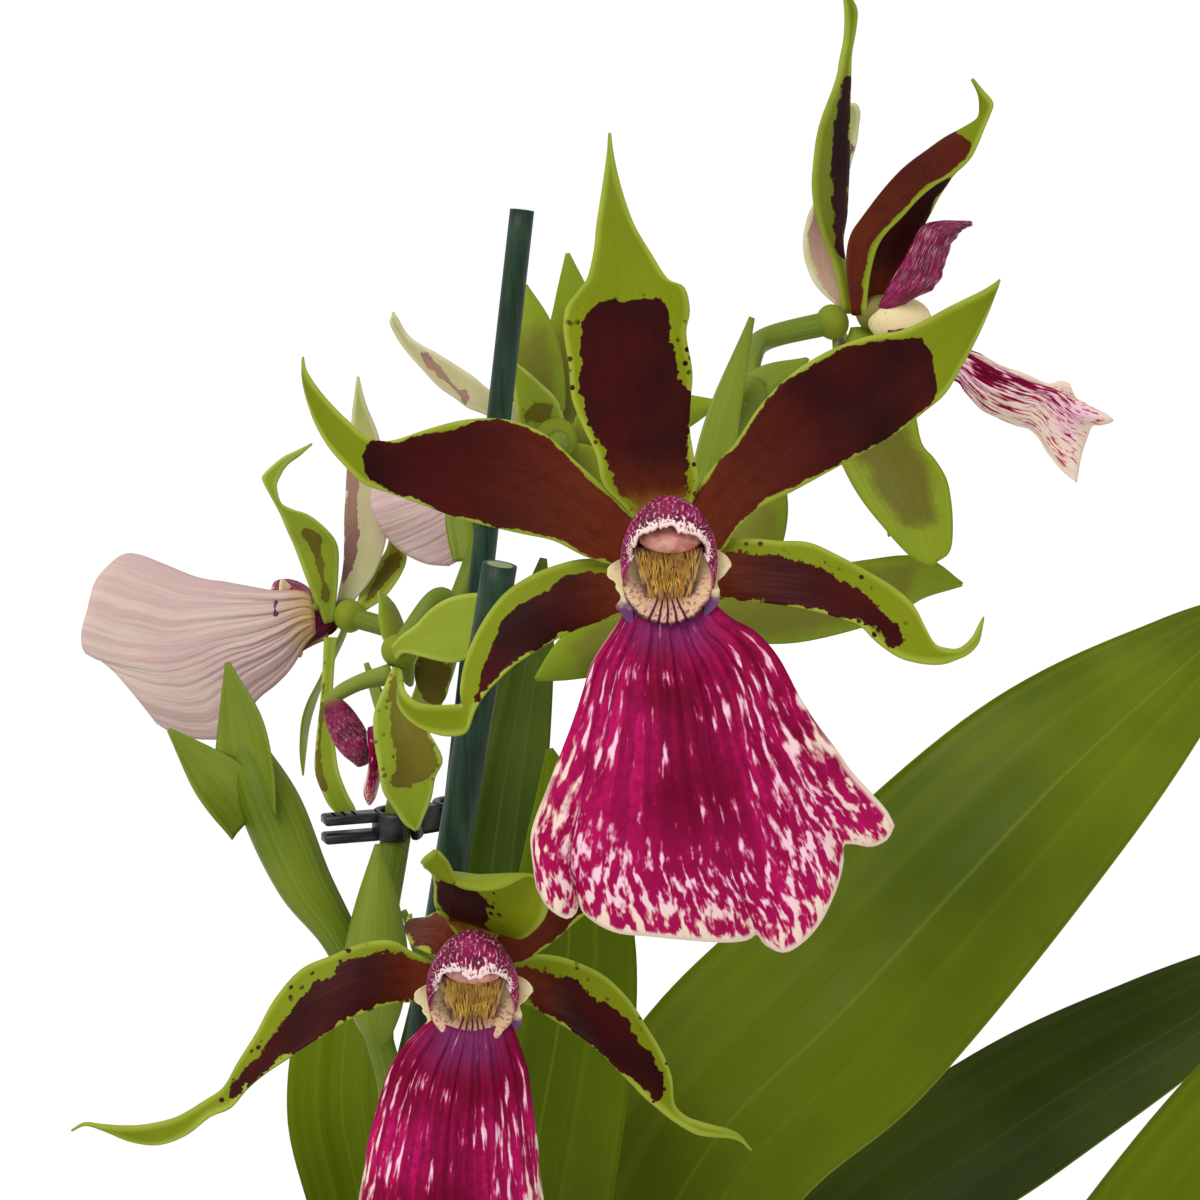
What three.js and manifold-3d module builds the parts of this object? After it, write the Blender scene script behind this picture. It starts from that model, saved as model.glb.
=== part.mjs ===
// A potted zygolum orchid: a plain plastic pot of orchid bark, pseudobulbs with strap leaves, two
// flower spikes tied to green stakes with black clips, and a third spike in bud.
// Millimetres, +Z up. The origin is the centre of the pot's flat base, and the blooms face -Y.
import * as THREE from "three";
import { mergeVertices } from "three/addons/utils/BufferGeometryUtils.js";
import Module from "manifold-3d";

const wasm = await Module();
wasm.setup();

// Driving dimensions of the pot and what fills it
const POT_HEIGHT = 110;
const POT_BASE_RADIUS = 44;
const POT_TOP_RADIUS = 58.5;
const POT_WALL = 1.8;
const POT_FLOOR = 3;
const RIM_RADIUS = 61.5;
const RIM_HEIGHT = 15;
const DRAIN_HOLES = 6;
const DRAIN_RADIUS = 4;
const DRAIN_RING = 31;
const BARK_LEVEL = 97;
const CHIP_COUNT = 22;
const GAP = 0.35;

// Driving dimensions of the plant
const STAKE_SIDES = 8;
const LEAF_THICK = 1.0;
const LEAF_FOLD = 0.22;
const TEPAL_THICK = 0.9;
const LIP_THICK = 0.9;
const BRACT_THICK = 1.1;
const STEM_SIDES = 6;
const SOCKET_GAP = 0.9;
const VIEW_PITCH = -10;

// A repeatable random number between 0 and 1
function seeded(seed) {
  let state = seed;
  return () => {
    state = (state * 1664525 + 1013904223) % 4294967296;
    return state / 4294967296;
  };
}

// Turns a closed geometry into a solid that can be cut and joined
function solidOf(geometry) {
  const bare = geometry.index ? geometry.toNonIndexed() : geometry.clone();
  for (const name of ["normal", "uv"]) bare.deleteAttribute(name);
  const merged = mergeVertices(bare, 1e-4);
  return new wasm.Manifold(
    new wasm.Mesh({
      numProp: 3,
      vertProperties: merged.attributes.position.array,
      triVerts: new Uint32Array(merged.index.array),
    }),
  );
}

function geometryOf(solid) {
  const mesh = solid.getMesh();
  const geometry = new THREE.BufferGeometry();
  geometry.setAttribute("position", new THREE.BufferAttribute(mesh.vertProperties, 3));
  geometry.setIndex(new THREE.BufferAttribute(mesh.triVerts, 1));
  geometry.computeVertexNormals();
  return geometry;
}

function fuse(geometries) {
  return geometryOf(geometries.map(solidOf).reduce((whole, piece) => whole.add(piece)));
}

// Smooth values between the rows of a table, each column alike; t runs from 0 to 1
function along(rows, t) {
  const spans = rows.length - 1;
  const x = Math.min(Math.max(t, 0), 1) * spans;
  const i = Math.min(Math.floor(x), spans - 1);
  const f = x - i;
  const row = (k) => {
    if (k < 0) return rows[0].map((v, c) => 2 * v - rows[1][c]);
    if (k > spans) return rows[spans].map((v, c) => 2 * v - rows[spans - 1][c]);
    return rows[k];
  };
  const [a, b, c, d] = [row(i - 1), row(i), row(i + 1), row(i + 2)];
  return b.map(
    (_, k) =>
      0.5 *
      (2 * b[k] +
        (c[k] - a[k]) * f +
        (2 * a[k] - 5 * b[k] + 4 * c[k] - d[k]) * f * f +
        (3 * b[k] - a[k] - 3 * c[k] + d[k]) * f * f * f),
  );
}

const vector = (row) => new THREE.Vector3(row[0], row[1], row[2]);

// Tangent, side and normal of a table of rows at t, with the normal turned towards face
function frameAt(rows, t, face, twist) {
  const step = 0.01;
  const tangent = vector(along(rows, t + step)).sub(vector(along(rows, t - step))).normalize();
  const normal = face.clone().addScaledVector(tangent, -face.dot(tangent)).normalize();
  normal.applyAxisAngle(tangent, THREE.MathUtils.degToRad(twist));
  return { tangent, normal, side: tangent.clone().cross(normal) };
}

// A closed body from two sheets of points that share their border; both are split alike
function closedSheet(upper, lower) {
  const rows = upper.length;
  const columns = upper[0].length;
  const positions = [];
  const index = [];
  const top = upper.map((row) => row.map((p) => positions.push(...p.toArray()) / 3 - 1));
  const under = lower.map((row, j) =>
    row.map((p, i) => {
      const border = j === 0 || j === rows - 1 || i === 0 || i === columns - 1;
      return border ? top[j][i] : positions.push(...p.toArray()) / 3 - 1;
    }),
  );
  for (let j = 0; j < rows - 1; j += 1) {
    for (let i = 0; i < columns - 1; i += 1) {
      index.push(top[j][i], top[j][i + 1], top[j + 1][i + 1]);
      index.push(top[j][i], top[j + 1][i + 1], top[j + 1][i]);
      index.push(under[j][i], under[j + 1][i + 1], under[j][i + 1]);
      index.push(under[j][i], under[j + 1][i], under[j + 1][i + 1]);
    }
  }
  const geometry = new THREE.BufferGeometry();
  geometry.setAttribute("position", new THREE.Float32BufferAttribute(positions, 3));
  geometry.setIndex(index);
  return geometry;
}

// A leaf or petal. Each row is x, y, z, half width, twist in degrees and cup, which lifts the
// edges towards the face. fold lifts both halves about the midrib.
function blade(rows, { face, across, steps, thick, fold = 0, wave = 0, waves = 2 }) {
  const upper = [];
  const lower = [];
  for (let j = 0; j <= steps; j += 1) {
    const t = j / steps;
    const [x, y, z, half, twist, cup] = along(rows, t);
    const { normal, side } = frameAt(rows, t, face, twist);
    const ripple = wave * Math.sin(2 * Math.PI * waves * t);
    const line = [];
    const back = [];
    for (let i = 0; i <= across; i += 1) {
      const s = -1 + (2 * i) / across;
      const lift = half * (cup * s * s + fold * Math.abs(s)) + ripple * s * s * Math.sign(s);
      const p = new THREE.Vector3(x, y, z).addScaledVector(side, half * s).addScaledVector(normal, lift);
      const depth = (thick / 2) * (1 - 0.3 * s * s);
      line.push(p.clone().addScaledVector(normal, depth));
      back.push(p.clone().addScaledVector(normal, -depth));
    }
    upper.push(line);
    lower.push(back);
  }
  for (const j of [0, steps]) {
    for (let i = 0; i <= across; i += 1) upper[j][i].add(lower[j][i]).multiplyScalar(0.5);
  }
  for (let j = 0; j <= steps; j += 1) {
    for (const i of [0, across]) upper[j][i].add(lower[j][i]).multiplyScalar(0.5);
  }
  return closedSheet(upper, lower);
}

// A stem, bulb or column: rings of the given half widths along a line; rows are x, y, z, a and b
function sweep(rows, { sides, steps, face = new THREE.Vector3(0, -1, 0.01) }) {
  const positions = [];
  const index = [];
  for (let j = 0; j <= steps; j += 1) {
    const t = j / steps;
    const [x, y, z, a, b = a] = along(rows, t);
    const { normal, side } = frameAt(rows, t, face, 0);
    for (let i = 0; i < sides; i += 1) {
      const turn = (2 * Math.PI * i) / sides;
      const p = new THREE.Vector3(x, y, z)
        .addScaledVector(side, a * Math.cos(turn))
        .addScaledVector(normal, b * Math.sin(turn));
      positions.push(...p.toArray());
    }
  }
  const ring = (j, i) => j * sides + (i % sides);
  for (let j = 0; j < steps; j += 1) {
    for (let i = 0; i < sides; i += 1) {
      index.push(ring(j, i), ring(j + 1, i + 1), ring(j, i + 1));
      index.push(ring(j, i), ring(j + 1, i), ring(j + 1, i + 1));
    }
  }
  for (let i = 1; i < sides - 1; i += 1) {
    index.push(ring(0, 0), ring(0, i), ring(0, i + 1));
    index.push(ring(steps, 0), ring(steps, i + 1), ring(steps, i));
  }
  const geometry = new THREE.BufferGeometry();
  geometry.setAttribute("position", new THREE.Float32BufferAttribute(positions, 3));
  geometry.setIndex(index);
  return geometry;
}

function lathe(profile, segments) {
  const points = profile.map(([radius, height]) => new THREE.Vector2(radius, height));
  return new THREE.LatheGeometry(points, segments).rotateX(Math.PI / 2);
}

const COLOURS = {
  pot: [0x3a3d40, 0.55],
  bark: [0x6b4329, 0.95],
  bulb: [0x6f8a35, 0.5],
  leaf: [0x4f6b12, 0.42],
  stem: [0x6f8f1e, 0.5],
  tepal: [0x5a1a18, 0.5],
  lip: [0xa3174f, 0.55],
  column: [0x8d2450, 0.5],
  stake: [0x1f4a33, 0.5],
  clip: [0x121314, 0.4],
};

function part(name, geometry, finish) {
  const [color, roughness] = COLOURS[finish];
  const material = new THREE.MeshStandardMaterial({ color, roughness, metalness: 0 });
  const mesh = new THREE.Mesh(geometry, material);
  mesh.name = name;
  return mesh;
}

// Places of the stakes: foot, top and radius
const STAKES = {
  stake_front: { foot: [-14, -12, 30], top: [49.2, -35.4, 411.8], radius: 2.35 },
  stake_rear: { foot: [2, 18, 30], top: [50.5, 47.7, 451.2], radius: 1.9 },
};

// Pseudobulbs: centre, widest radius and height of the top above the pot's base
const BULB_FOOT = 84;
const BULBS = {
  bulb_1: { at: [24, 7], radius: 12.5, top: 152 },
  bulb_2: { at: [32, -25], radius: 11, top: 147 },
  bulb_3: { at: [-9, 4], radius: 12, top: 156 },
  bulb_4: { at: [-34, -14], radius: 11, top: 149 },
  bulb_5: { at: [-31, 22], radius: 11, top: 145 },
  bulb_6: { at: [-13, -39], radius: 10, top: 141 },
};

// Leaves that the blooms stand against. Rows are x, y, z, half width, twist and cup
const LEAVES = {
  leaf_1: {
    face: [-0.55, -0.75, 0.35],
    rows: [
      [24, 5.5, 152.5, 4, 0, 0.2],
      [32, 11, 200, 9, 0, 0.08],
      [50, 20, 255, 14.5, 0, 0.05],
      [76, 30, 308, 19.5, 0, 0.02],
      [100, 41, 331, 21.5, 0, 0],
      [131, 52, 362, 17.5, 0, 0],
      [154, 61, 381, 8.5, 0, 0],
      [167, 67, 391, 0.5, 0, 0],
    ],
  },
  leaf_2: {
    face: [-0.35, -0.45, 0.8],
    rows: [
      [27.6, 7.6, 152.5, 3.4, 0, 0.2],
      [44, 28, 200, 9, 0, 0.1],
      [68, 45, 246, 13, 0, 0.08],
      [98, 56, 284, 15.5, 0, 0.05],
      [128, 62, 305, 15.5, 0, 0],
      [152, 66, 319, 12, 0, 0],
      [172, 69, 331, 6, 0, 0],
      [184, 71, 340, 0.5, 0, 0],
    ],
  },
  leaf_3: {
    face: [-0.6, -0.5, 0.6],
    rows: [
      [33, -23.2, 147.6, 4, 0, 0.2],
      [55, -27, 200, 9, 0, 0.1],
      [88, -30, 248, 14, 0, 0.08],
      [121, -33, 290, 17, 0, 0.05],
      [145, -37, 329, 15.5, 0, 0],
      [162, -41, 357, 10, 0, 0],
      [173, -45, 376, 4.5, 0, 0],
      [178, -47, 386, 0.5, 0, 0],
    ],
  },
  leaf_4: {
    face: [-0.1, -0.98, 0.1],
    rows: [
      [-9, 7.9, 156.6, 3.4, 0, 0.2],
      [4, 8, 210, 8, 0, 0.08],
      [22, 7, 262, 10.5, 0, 0.05],
      [36, 6, 305, 10.5, 0, 0],
      [43.5, 7, 340, 8.5, 0, 0],
      [48, 11, 370, 6.5, 0, 0],
      [52, 15, 392, 3.6, 0, 0],
      [54, 17, 404, 0.5, 0, 0],
    ],
  },
  leaf_5: {
    face: [0.1, -0.98, 0.1],
    rows: [
      [-8.5, 4.4, 156.9, 4, 0, 0.2],
      [10, -3, 205, 8, 0, 0.1],
      [32, -7, 250, 10.5, 0, 0.08],
      [46, -9, 290, 11.5, 0, 0.05],
      [53, -9, 325, 11.5, 0, 0],
      [57.5, -6, 352, 9.5, 0, 0],
      [57, -3, 370, 5, 0, 0],
      [55, 0, 380, 0.5, 0, 0],
    ],
  },
  leaf_6: {
    face: [0, -0.85, 0.5],
    rows: [
      [-10, 0.6, 156.6, 3.6, 0, 0.2],
      [0, -8, 205, 6.5, 0, 0.1],
      [18, -14, 258, 7, 0, 0.08],
      [29.4, -16, 306, 6.4, 0, 0.05],
      [26.8, -17, 333, 7.4, 0, 0],
      [27.4, -10, 346, 6, 0, 0],
      [27, 3, 343, 3.4, 0, 0],
      [24, 14, 334, 0.5, 0, 0],
    ],
  },
};

// Leaves that arch out of the pot on the sides that the blooms don't use
const ARCHING = [
  { name: "leaf_7", bulb: "bulb_4", heading: 196, reach: 205, rise: 128, drop: 40, half: 17 },
  { name: "leaf_8", bulb: "bulb_4", heading: 264, reach: 165, rise: 118, drop: 52, half: 15 },
  { name: "leaf_9", bulb: "bulb_5", heading: 166, reach: 190, rise: 158, drop: 30, half: 16 },
  { name: "leaf_10", bulb: "bulb_5", heading: 92, reach: 150, rise: 98, drop: 34, half: 15 },
  { name: "leaf_11", bulb: "bulb_2", heading: 287, reach: 150, rise: 112, drop: 50, half: 14 },
  { name: "leaf_12", bulb: "bulb_6", heading: 250, reach: 150, rise: 105, drop: 44, half: 14 },
];

// How an arching leaf goes out, up and wide along its length, as shares of reach, rise and half
const ARCH = [
  [0, 0, 0.22],
  [0.1, 0.36, 0.55],
  [0.26, 0.7, 0.88],
  [0.46, 0.93, 1],
  [0.68, 1, 0.93],
  [0.87, 0.92, 0.55],
  [1, 0.78, 0.035],
];

// How far from its bulb's middle an arching leaf starts
const ARCH_FOOT = 3.2;

function archingRows({ bulb, heading, reach, rise, drop, half }) {
  const { at, top } = BULBS[bulb];
  const out = THREE.MathUtils.degToRad(heading);
  return ARCH.map(([far, high, wide], i) => {
    const r = ARCH_FOOT + far * reach;
    const sag = 0.6 * drop * Math.max(0, (i - 3) / 3) ** 2;
    const z = top + 0.6 + high * rise - sag;
    return [at[0] + r * Math.cos(out), at[1] + r * Math.sin(out), z, half * wide, 0, 0.08];
  });
}

function archingFace({ heading }) {
  const out = THREE.MathUtils.degToRad(heading);
  return [-0.15 * Math.cos(out), -0.15 * Math.sin(out), 1];
}

// Blooms are drawn as they are seen from in front and a little above, in millimetres from each
// bloom's centre: x to the right, y away, z up. aim is where the column points, crown its top.
// A tepal's points run from near the ovary to its tip, and turns twist its face along the way.
// A lip's rows are x, y, z, half width and cup, from below the callus to its front edge.
const BLOOMS = {
  a: {
    at: [69.6, -95, 420],
    aim: [0, -1, 0],
    crown: [0, 0, 1],
    steps: 7,
    tepals: [
      {
        face: [0, -1, 0],
        half: 6.9,
        fold: 0.12,
        turns: [0, 0, 0],
        points: [[-2, 2.5, 9], [-3.7, 2.5, 17], [-4.4, 1.5, 27], [-5, 1, 38], [-6.5, 4, 50.4]],
      },
      {
        face: [0, -1, 0],
        half: 5.6,
        fold: 0.1,
        turns: [0, 0, -25],
        points: [
          [-6.5, 2.5, 6],
          [-13, 2.2, 10.6],
          [-22, 1, 13],
          [-30.5, 0, 13.2],
          [-36.7, 1, 16.2],
          [-41, 3, 24.4],
        ],
      },
      {
        face: [0, -1, 0],
        half: 5.6,
        fold: 0.1,
        turns: [0, 0, 15],
        points: [
          [4.6, 2.5, 7],
          [9, 2.3, 13.2],
          [17, 1, 18.6],
          [25.5, 0, 22.6],
          [31.6, 0.5, 26.6],
          [37.3, 3, 33.6],
        ],
      },
      {
        face: [0, -1, 0],
        half: 4.8,
        fold: 0.1,
        turns: [0, 25, 40, 20, -10],
        points: [
          [-6, 3, -0.6],
          [-12.4, 2, -2.8],
          [-18.4, 0, -7],
          [-22.3, -1, -13.4],
          [-25.6, -1.5, -15.4],
          [-30, -0.5, -11.2],
        ],
      },
      {
        face: [0, -1, 0],
        half: 4.8,
        fold: 0.1,
        turns: [0, -25, -35, -30, 0],
        points: [
          [6.5, 3, 1],
          [14.2, 2, 0.9],
          [20.4, 0.5, -1.3],
          [26.5, -0.5, -6.3],
          [31.6, -1, -8.4],
          [35.2, 0, -4.3],
        ],
      },
    ],
    lip: {
      face: [0, -1, 0],
      wave: 1.1,
      rows: [
        [1.6, -7, -8, 9, 0],
        [2.8, -9, -15.5, 14, -0.1],
        [4, -9.6, -23, 18.2, -0.14],
        [3.8, -9, -30, 18.6, -0.15],
        [3, -7.6, -36, 15.4, -0.12],
        [3.4, -6, -40.4, 8.2, -0.1],
      ],
    },
  },
  b: {
    at: [47.4, -85.4, 370.2],
    aim: [0, -1, 0],
    crown: [0, 0, 1],
    steps: 7,
    tepals: [
      {
        face: [0, -0.7, -0.7],
        half: 6.4,
        fold: 0.25,
        turns: [0, 0, -20],
        points: [
          [0, 2, 7],
          [0.3, 0, 10.6],
          [0.6, -6, 12.6],
          [0, -12, 12.4],
          [-3, -15.5, 13.4],
          [-5.5, -16.5, 16.8],
        ],
      },
      {
        face: [0, -0.5, 0.86],
        half: 4.6,
        fold: 0.1,
        turns: [0, 0, 0],
        points: [[-5, 3.4, 3.8], [-9.4, 6, 5.4], [-10.8, 13, 5.6], [-10.8, 21, 5], [-10, 29, 5]],
      },
      {
        face: [0, -0.85, -0.5],
        half: 4.8,
        fold: 0.1,
        turns: [0, 0, 0],
        points: [[6, 3, 5], [12.5, 4.5, 8.6], [20, 8, 13], [27, 12, 18.4], [33, 17, 25]],
      },
      {
        face: [0, -1, 0],
        half: 5,
        fold: 0.1,
        turns: [0, 20, 35, 45, 0],
        points: [
          [-6, 3, 0.8],
          [-11, 1.6, 1],
          [-17.2, 0, -1.6],
          [-22.5, -2, -6.3],
          [-28.5, -3, -12.8],
          [-37, -3, -16.8],
          [-46.6, -1, -16.7],
        ],
      },
      {
        face: [0, -1, 0],
        half: 4.6,
        fold: 0.1,
        turns: [0, -20, -30, -40, 0],
        points: [
          [6, 3, 0.2],
          [10.6, 1.5, -0.8],
          [15.8, 0, -4.2],
          [20.4, -2, -9.5],
          [24.4, -3, -15],
          [31.8, -2, -18.6],
        ],
      },
    ],
    lip: {
      face: [0, -1, 0],
      wave: 0.5,
      rows: [
        [-1.6, -7.5, -9.2, 8.2, -0.15],
        [-2.4, -10, -16.2, 10.6, -0.35],
        [-2.6, -10.5, -25, 12.6, -0.4],
        [-2.4, -9, -33, 13, -0.4],
        [-2.1, -7, -39, 10.4, -0.3],
        [-1.9, -5.5, -42.4, 5, -0.2],
      ],
    },
  },
  c: {
    at: [96.2, -20, 441.7],
    aim: [0.93, -0.1, 0.34],
    crown: [-0.34, 0, 0.94],
    steps: 7,
    tepals: [
      {
        face: [0.95, -0.4, 0],
        half: 6.4,
        fold: 0.5,
        turns: [0, 0, 20],
        points: [
          [-5.4, 0.4, 6],
          [-7, 0.4, 15.4],
          [-6, 0, 23.3],
          [-3.6, 0, 32.4],
          [-2.2, 0, 39],
          [-2.4, 0, 44],
        ],
      },
      {
        face: [0.7, 0.6, -0.35],
        half: 6.6,
        fold: 0.42,
        turns: [0, 0, 0],
        points: [
          [-3, -4.6, 3.4],
          [0.4, -8.6, 10.6],
          [4.8, -11, 17],
          [9, -12.4, 21.6],
          [11.6, -12.6, 25],
          [11, -12.2, 28.6],
        ],
      },
      {
        face: [0.9, -0.4, 0.1],
        half: 4.8,
        fold: 0.2,
        turns: [0, 0, 60],
        points: [
          [-3.8, 4, 3],
          [-5.2, 8.5, 9],
          [-4.4, 12, 16.5],
          [-1.8, 13.5, 22.6],
          [-0.2, 13.6, 26.4],
          [0.6, 12.6, 29],
        ],
      },
      {
        face: [0.55, 0.8, 0.1],
        half: 5.6,
        fold: 0.1,
        turns: [0, 0, 0],
        points: [
          [-2.4, -2.6, -4],
          [0.8, -6, -11],
          [3, -8, -17.4],
          [5.6, -9, -24],
          [7.8, -9, -29],
          [8.4, -8.6, -32.6],
        ],
      },
      {
        face: [0.9, -0.3, 0.1],
        half: 5,
        fold: 0.1,
        turns: [0, 0, 0],
        points: [[-2.8, 4, -4], [0, 9, -10], [2.4, 13.5, -16.5], [4.4, 17, -22.5], [5, 18.5, -28]],
      },
    ],
    lip: {
      face: [0.45, -0.3, 0.85],
      wave: 1.2,
      rows: [
        [7.6, -0.8, -3.4, 8, 0],
        [13.5, -1, -6.2, 12, -0.1],
        [19.3, -1, -9, 15.6, -0.15],
        [24.6, -1, -11, 16.4, -0.25],
        [29, -1, -13, 13.6, -0.35],
        [32, -1, -15, 7.6, -0.3],
      ],
    },
  },
  d: {
    at: [19.5, 61.8, 386.8],
    aim: [-0.9, 0.3, -0.05],
    crown: [0, 0.85, 0.5],
    steps: 7,
    tepals: [
      {
        face: [-0.8, 0.6, 0],
        half: 4.6,
        fold: 0.3,
        turns: [0, 0, 60],
        points: [
          [1.6, 0, 4],
          [-0.6, -2.6, 9.6],
          [-3.4, -4.6, 15.6],
          [-7.2, -5.4, 20.8],
          [-6.2, -5, 24.2],
          [-1.7, -4, 27.4],
        ],
      },
      {
        face: [-0.95, 0.2, 0],
        half: 5,
        fold: 0.3,
        turns: [0, 0, 20],
        points: [[4.2, 1, 4.6], [5, 2, 12], [6, 3, 20], [5.6, 3.6, 28], [4, 4, 35]],
      },
      {
        face: [-0.4, 0.9, 0.1],
        half: 4,
        fold: 0.3,
        turns: [0, 0, 0],
        points: [[5.6, 0, 2], [8.4, 3, 5.6], [10.4, 6, 10], [11.2, 9, 15], [10.4, 12, 20]],
      },
      {
        face: [-0.9, 0.4, 0],
        half: 4.8,
        fold: 0.3,
        turns: [0, 0, 30],
        points: [[2, 0, -5], [1, -1.4, -12], [0.6, -1.8, -19], [1.6, -1.4, -26], [4.8, 0, -31.6]],
      },
      {
        face: [-0.8, -0.2, 0.5],
        half: 4.8,
        fold: 0.1,
        turns: [0, 0, 0],
        points: [[2.4, 4.6, -2.6], [0, 10, -7], [-2.6, 16, -12], [-4.6, 21, -18], [-5.4, 25, -25]],
      },
    ],
    lip: {
      face: [0, 0.75, 0.66],
      wave: 0.8,
      rows: [
        [-8.6, -0.6, -2.6, 9, 0.1],
        [-15.5, -0.8, -4.6, 14.6, 0],
        [-22.5, -1, -4.2, 17.8, -0.05],
        [-29, -1.2, -1.4, 17, -0.05],
        [-34, -1.4, 0.8, 12, 0],
        [-37, -1.6, 1.2, 5.4, 0],
      ],
    },
  },
  e: {
    at: [32.1, 19, 386.4],
    aim: [-0.5, -0.2, -0.84],
    crown: [-0.84, 0, 0.5],
    steps: 5,
    tepals: [
      {
        face: [-0.2, -0.9, 0.2],
        half: 4.4,
        fold: 0.2,
        turns: [0, 0, 0],
        points: [[4.4, -4, 1], [8.4, -4.6, 5.2], [12.2, -4, 8], [16.4, -2.6, 10.6]],
      },
      {
        face: [-0.6, -0.7, 0.2],
        half: 5.4,
        fold: 0.2,
        turns: [0, 0, 0],
        points: [[7.2, -5, -1], [7.8, -6, -7.4], [7, -6, -13.4], [7.6, -6, -19.6]],
      },
      {
        face: [-0.7, -0.3, 0.4],
        half: 4.6,
        fold: 0.2,
        turns: [0, 0, 0],
        points: [[7, 3, 0], [10.6, 4, -5.6], [12.4, 4, -11.4], [13.6, 4, -16.6]],
      },
      {
        face: [-0.8, 0.2, -0.4],
        half: 4.6,
        fold: 0.2,
        turns: [0, 0, 0],
        points: [[1.6, 4, 2.4], [1, 10, 6], [-0.6, 16, 10], [-3, 21, 12]],
      },
      {
        face: [-0.8, -0.4, 0.2],
        half: 4.2,
        fold: 0.2,
        turns: [0, 0, 0],
        points: [[1, -3, 3], [-1.6, -7, 7], [-4.6, -11, 9.6], [-8, -14, 10.6]],
      },
    ],
    lip: {
      face: [-0.8, -0.6, 0.2],
      wave: 0.4,
      rows: [
        [-1.8, -0.2, -8.6, 5, 0.1],
        [-4, 0.4, -12.4, 6, 0.1],
        [-4.4, 0.8, -16, 6, 0.1],
        [-3, 1, -19.6, 3, 0.1],
      ],
    },
  },
  f: {
    at: [54, 61.4, 413.3],
    aim: [-0.35, 0.9, -0.2],
    crown: [0, 0.2, 1],
    steps: 5,
    tepals: [
      {
        face: [0, 0.9, 0.3],
        half: 4.6,
        fold: 0.2,
        turns: [0, 0, 60],
        points: [[-4.6, -2.4, 4.4], [-12, -1, 8.8], [-18, -0.4, 13], [-24.2, 0, 20.7]],
      },
      {
        face: [0, 1, 0],
        half: 4.8,
        fold: 0.2,
        turns: [0, 0, 0],
        points: [[-1.6, -1, 5], [-2.2, -2, 11], [-2.4, -2.6, 18], [-3.4, -1.4, 25.4]],
      },
      {
        face: [0, 1, 0],
        half: 4.8,
        fold: 0.2,
        turns: [0, 0, 0],
        points: [[2, 2, 5.6], [3.4, 3.6, 13], [4, 4.4, 21], [3, 3.4, 30.7]],
      },
      {
        face: [-0.2, 0.95, 0.2],
        half: 4.6,
        fold: 0.2,
        turns: [0, 0, 0],
        points: [[5.4, 0, 1.6], [12, 0.6, 3.6], [19, 1, 5.6], [26.7, 1, 7.6]],
      },
      {
        face: [0, 0.8, 0.6],
        half: 4.6,
        fold: 0.2,
        turns: [0, 0, 0],
        points: [[5.4, -1.6, -3], [8.4, -0.6, -8.6], [10.6, 2, -15], [11, 5, -22]],
      },
    ],
    lip: {
      face: [-0.3, 0.9, 0.3],
      wave: 0.6,
      rows: [
        [-6, 5, -7.4, 8, 0],
        [-8.8, 5, -12.4, 12, 0],
        [-11, 4.6, -17, 13.6, 0],
        [-12.4, 4, -20, 9, 0],
      ],
    },
  },
  g: {
    at: [74, -17.2, 399.8],
    aim: [0.2, 0.95, -0.2],
    crown: [0, 0.2, 1],
    steps: 5,
    tepals: [
      {
        face: [0, 0.9, 0.4],
        half: 5,
        fold: 0.2,
        turns: [0, 0, 0],
        points: [[5, -1.8, 2], [14, -1.4, 2.6], [24, 0, 4.8], [30.7, 0.6, 6.8], [36.4, 0.6, 6.2]],
      },
      {
        face: [0, 0.9, 0.4],
        half: 5,
        fold: 0.2,
        turns: [0, 0, 0],
        points: [[-5, 0, 0], [-10, 1, -1.4], [-15, 2, -3.6], [-20.6, 3, -6.6]],
      },
      {
        face: [0, 1, 0],
        half: 5,
        fold: 0.2,
        turns: [0, 0, 0],
        points: [[-2, 1, 5], [-4, 3, 11], [-5, 6, 18], [-4, 9, 25]],
      },
      {
        face: [0, 1, 0],
        half: 5,
        fold: 0.2,
        turns: [0, 0, 0],
        points: [[3, 1, 5], [7, 3, 11], [10, 6, 17], [11.6, 9, 24]],
      },
      {
        face: [0, 0.9, 0.4],
        half: 5,
        fold: 0.2,
        turns: [0, 0, 0],
        points: [[-4, -0.4, -3.6], [-7.6, 1, -9], [-10.6, 4, -15], [-12, 7, -22]],
      },
    ],
    lip: {
      face: [0.1, 0.9, 0.4],
      wave: 0.6,
      rows: [
        [4, 8, -8, 8, 0],
        [6, 9, -15, 13, 0],
        [7.4, 9, -22, 15, 0],
        [8, 8, -27, 9, 0],
      ],
    },
  },
};

// Shares of a tepal's half width from its foot to its tip
const TEPAL_WIDTHS = [0.34, 0.76, 0.96, 1, 0.87, 0.56, 0.06];

// The column in its own frame, which looks along -Y: y, z, half width and half height
const COLUMN_ROWS = [
  [0, 0, 1, 3.2, 2.8],
  [0, -3, 2.8, 3.6, 3.2],
  [0, -6.4, 4.6, 4.5, 3.9],
  [0, -9.6, 6, 5.1, 3.7],
  [0, -12, 5.4, 3, 1.8],
];

// The horseshoe callus above the lip, in the same frame: x, y, z and radius
const CALLUS_ROWS = [
  [-6.2, -3.6, 2.2, 0.9],
  [-5.4, -5.4, -1.2, 1.5],
  [0, -8.2, -3.8, 2.1],
  [5.4, -5.4, -1.2, 1.5],
  [6.2, -3.6, 2.2, 0.9],
];
const CALLUS_CUSHION = { at: [0, -5.6, -3.6], half: [4.6, 3.6, 2.8] };
const LIP_NECK = { at: [0, -3.8, -2.8], half: 4.4, cup: 0.2 };
const HUB = { at: [0, 3.7, 1], half: [3.3, 3, 3.3] };
// How far from the ovary's centre a tepal starts
const ROOT_DEPTH = 1.9;

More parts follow.
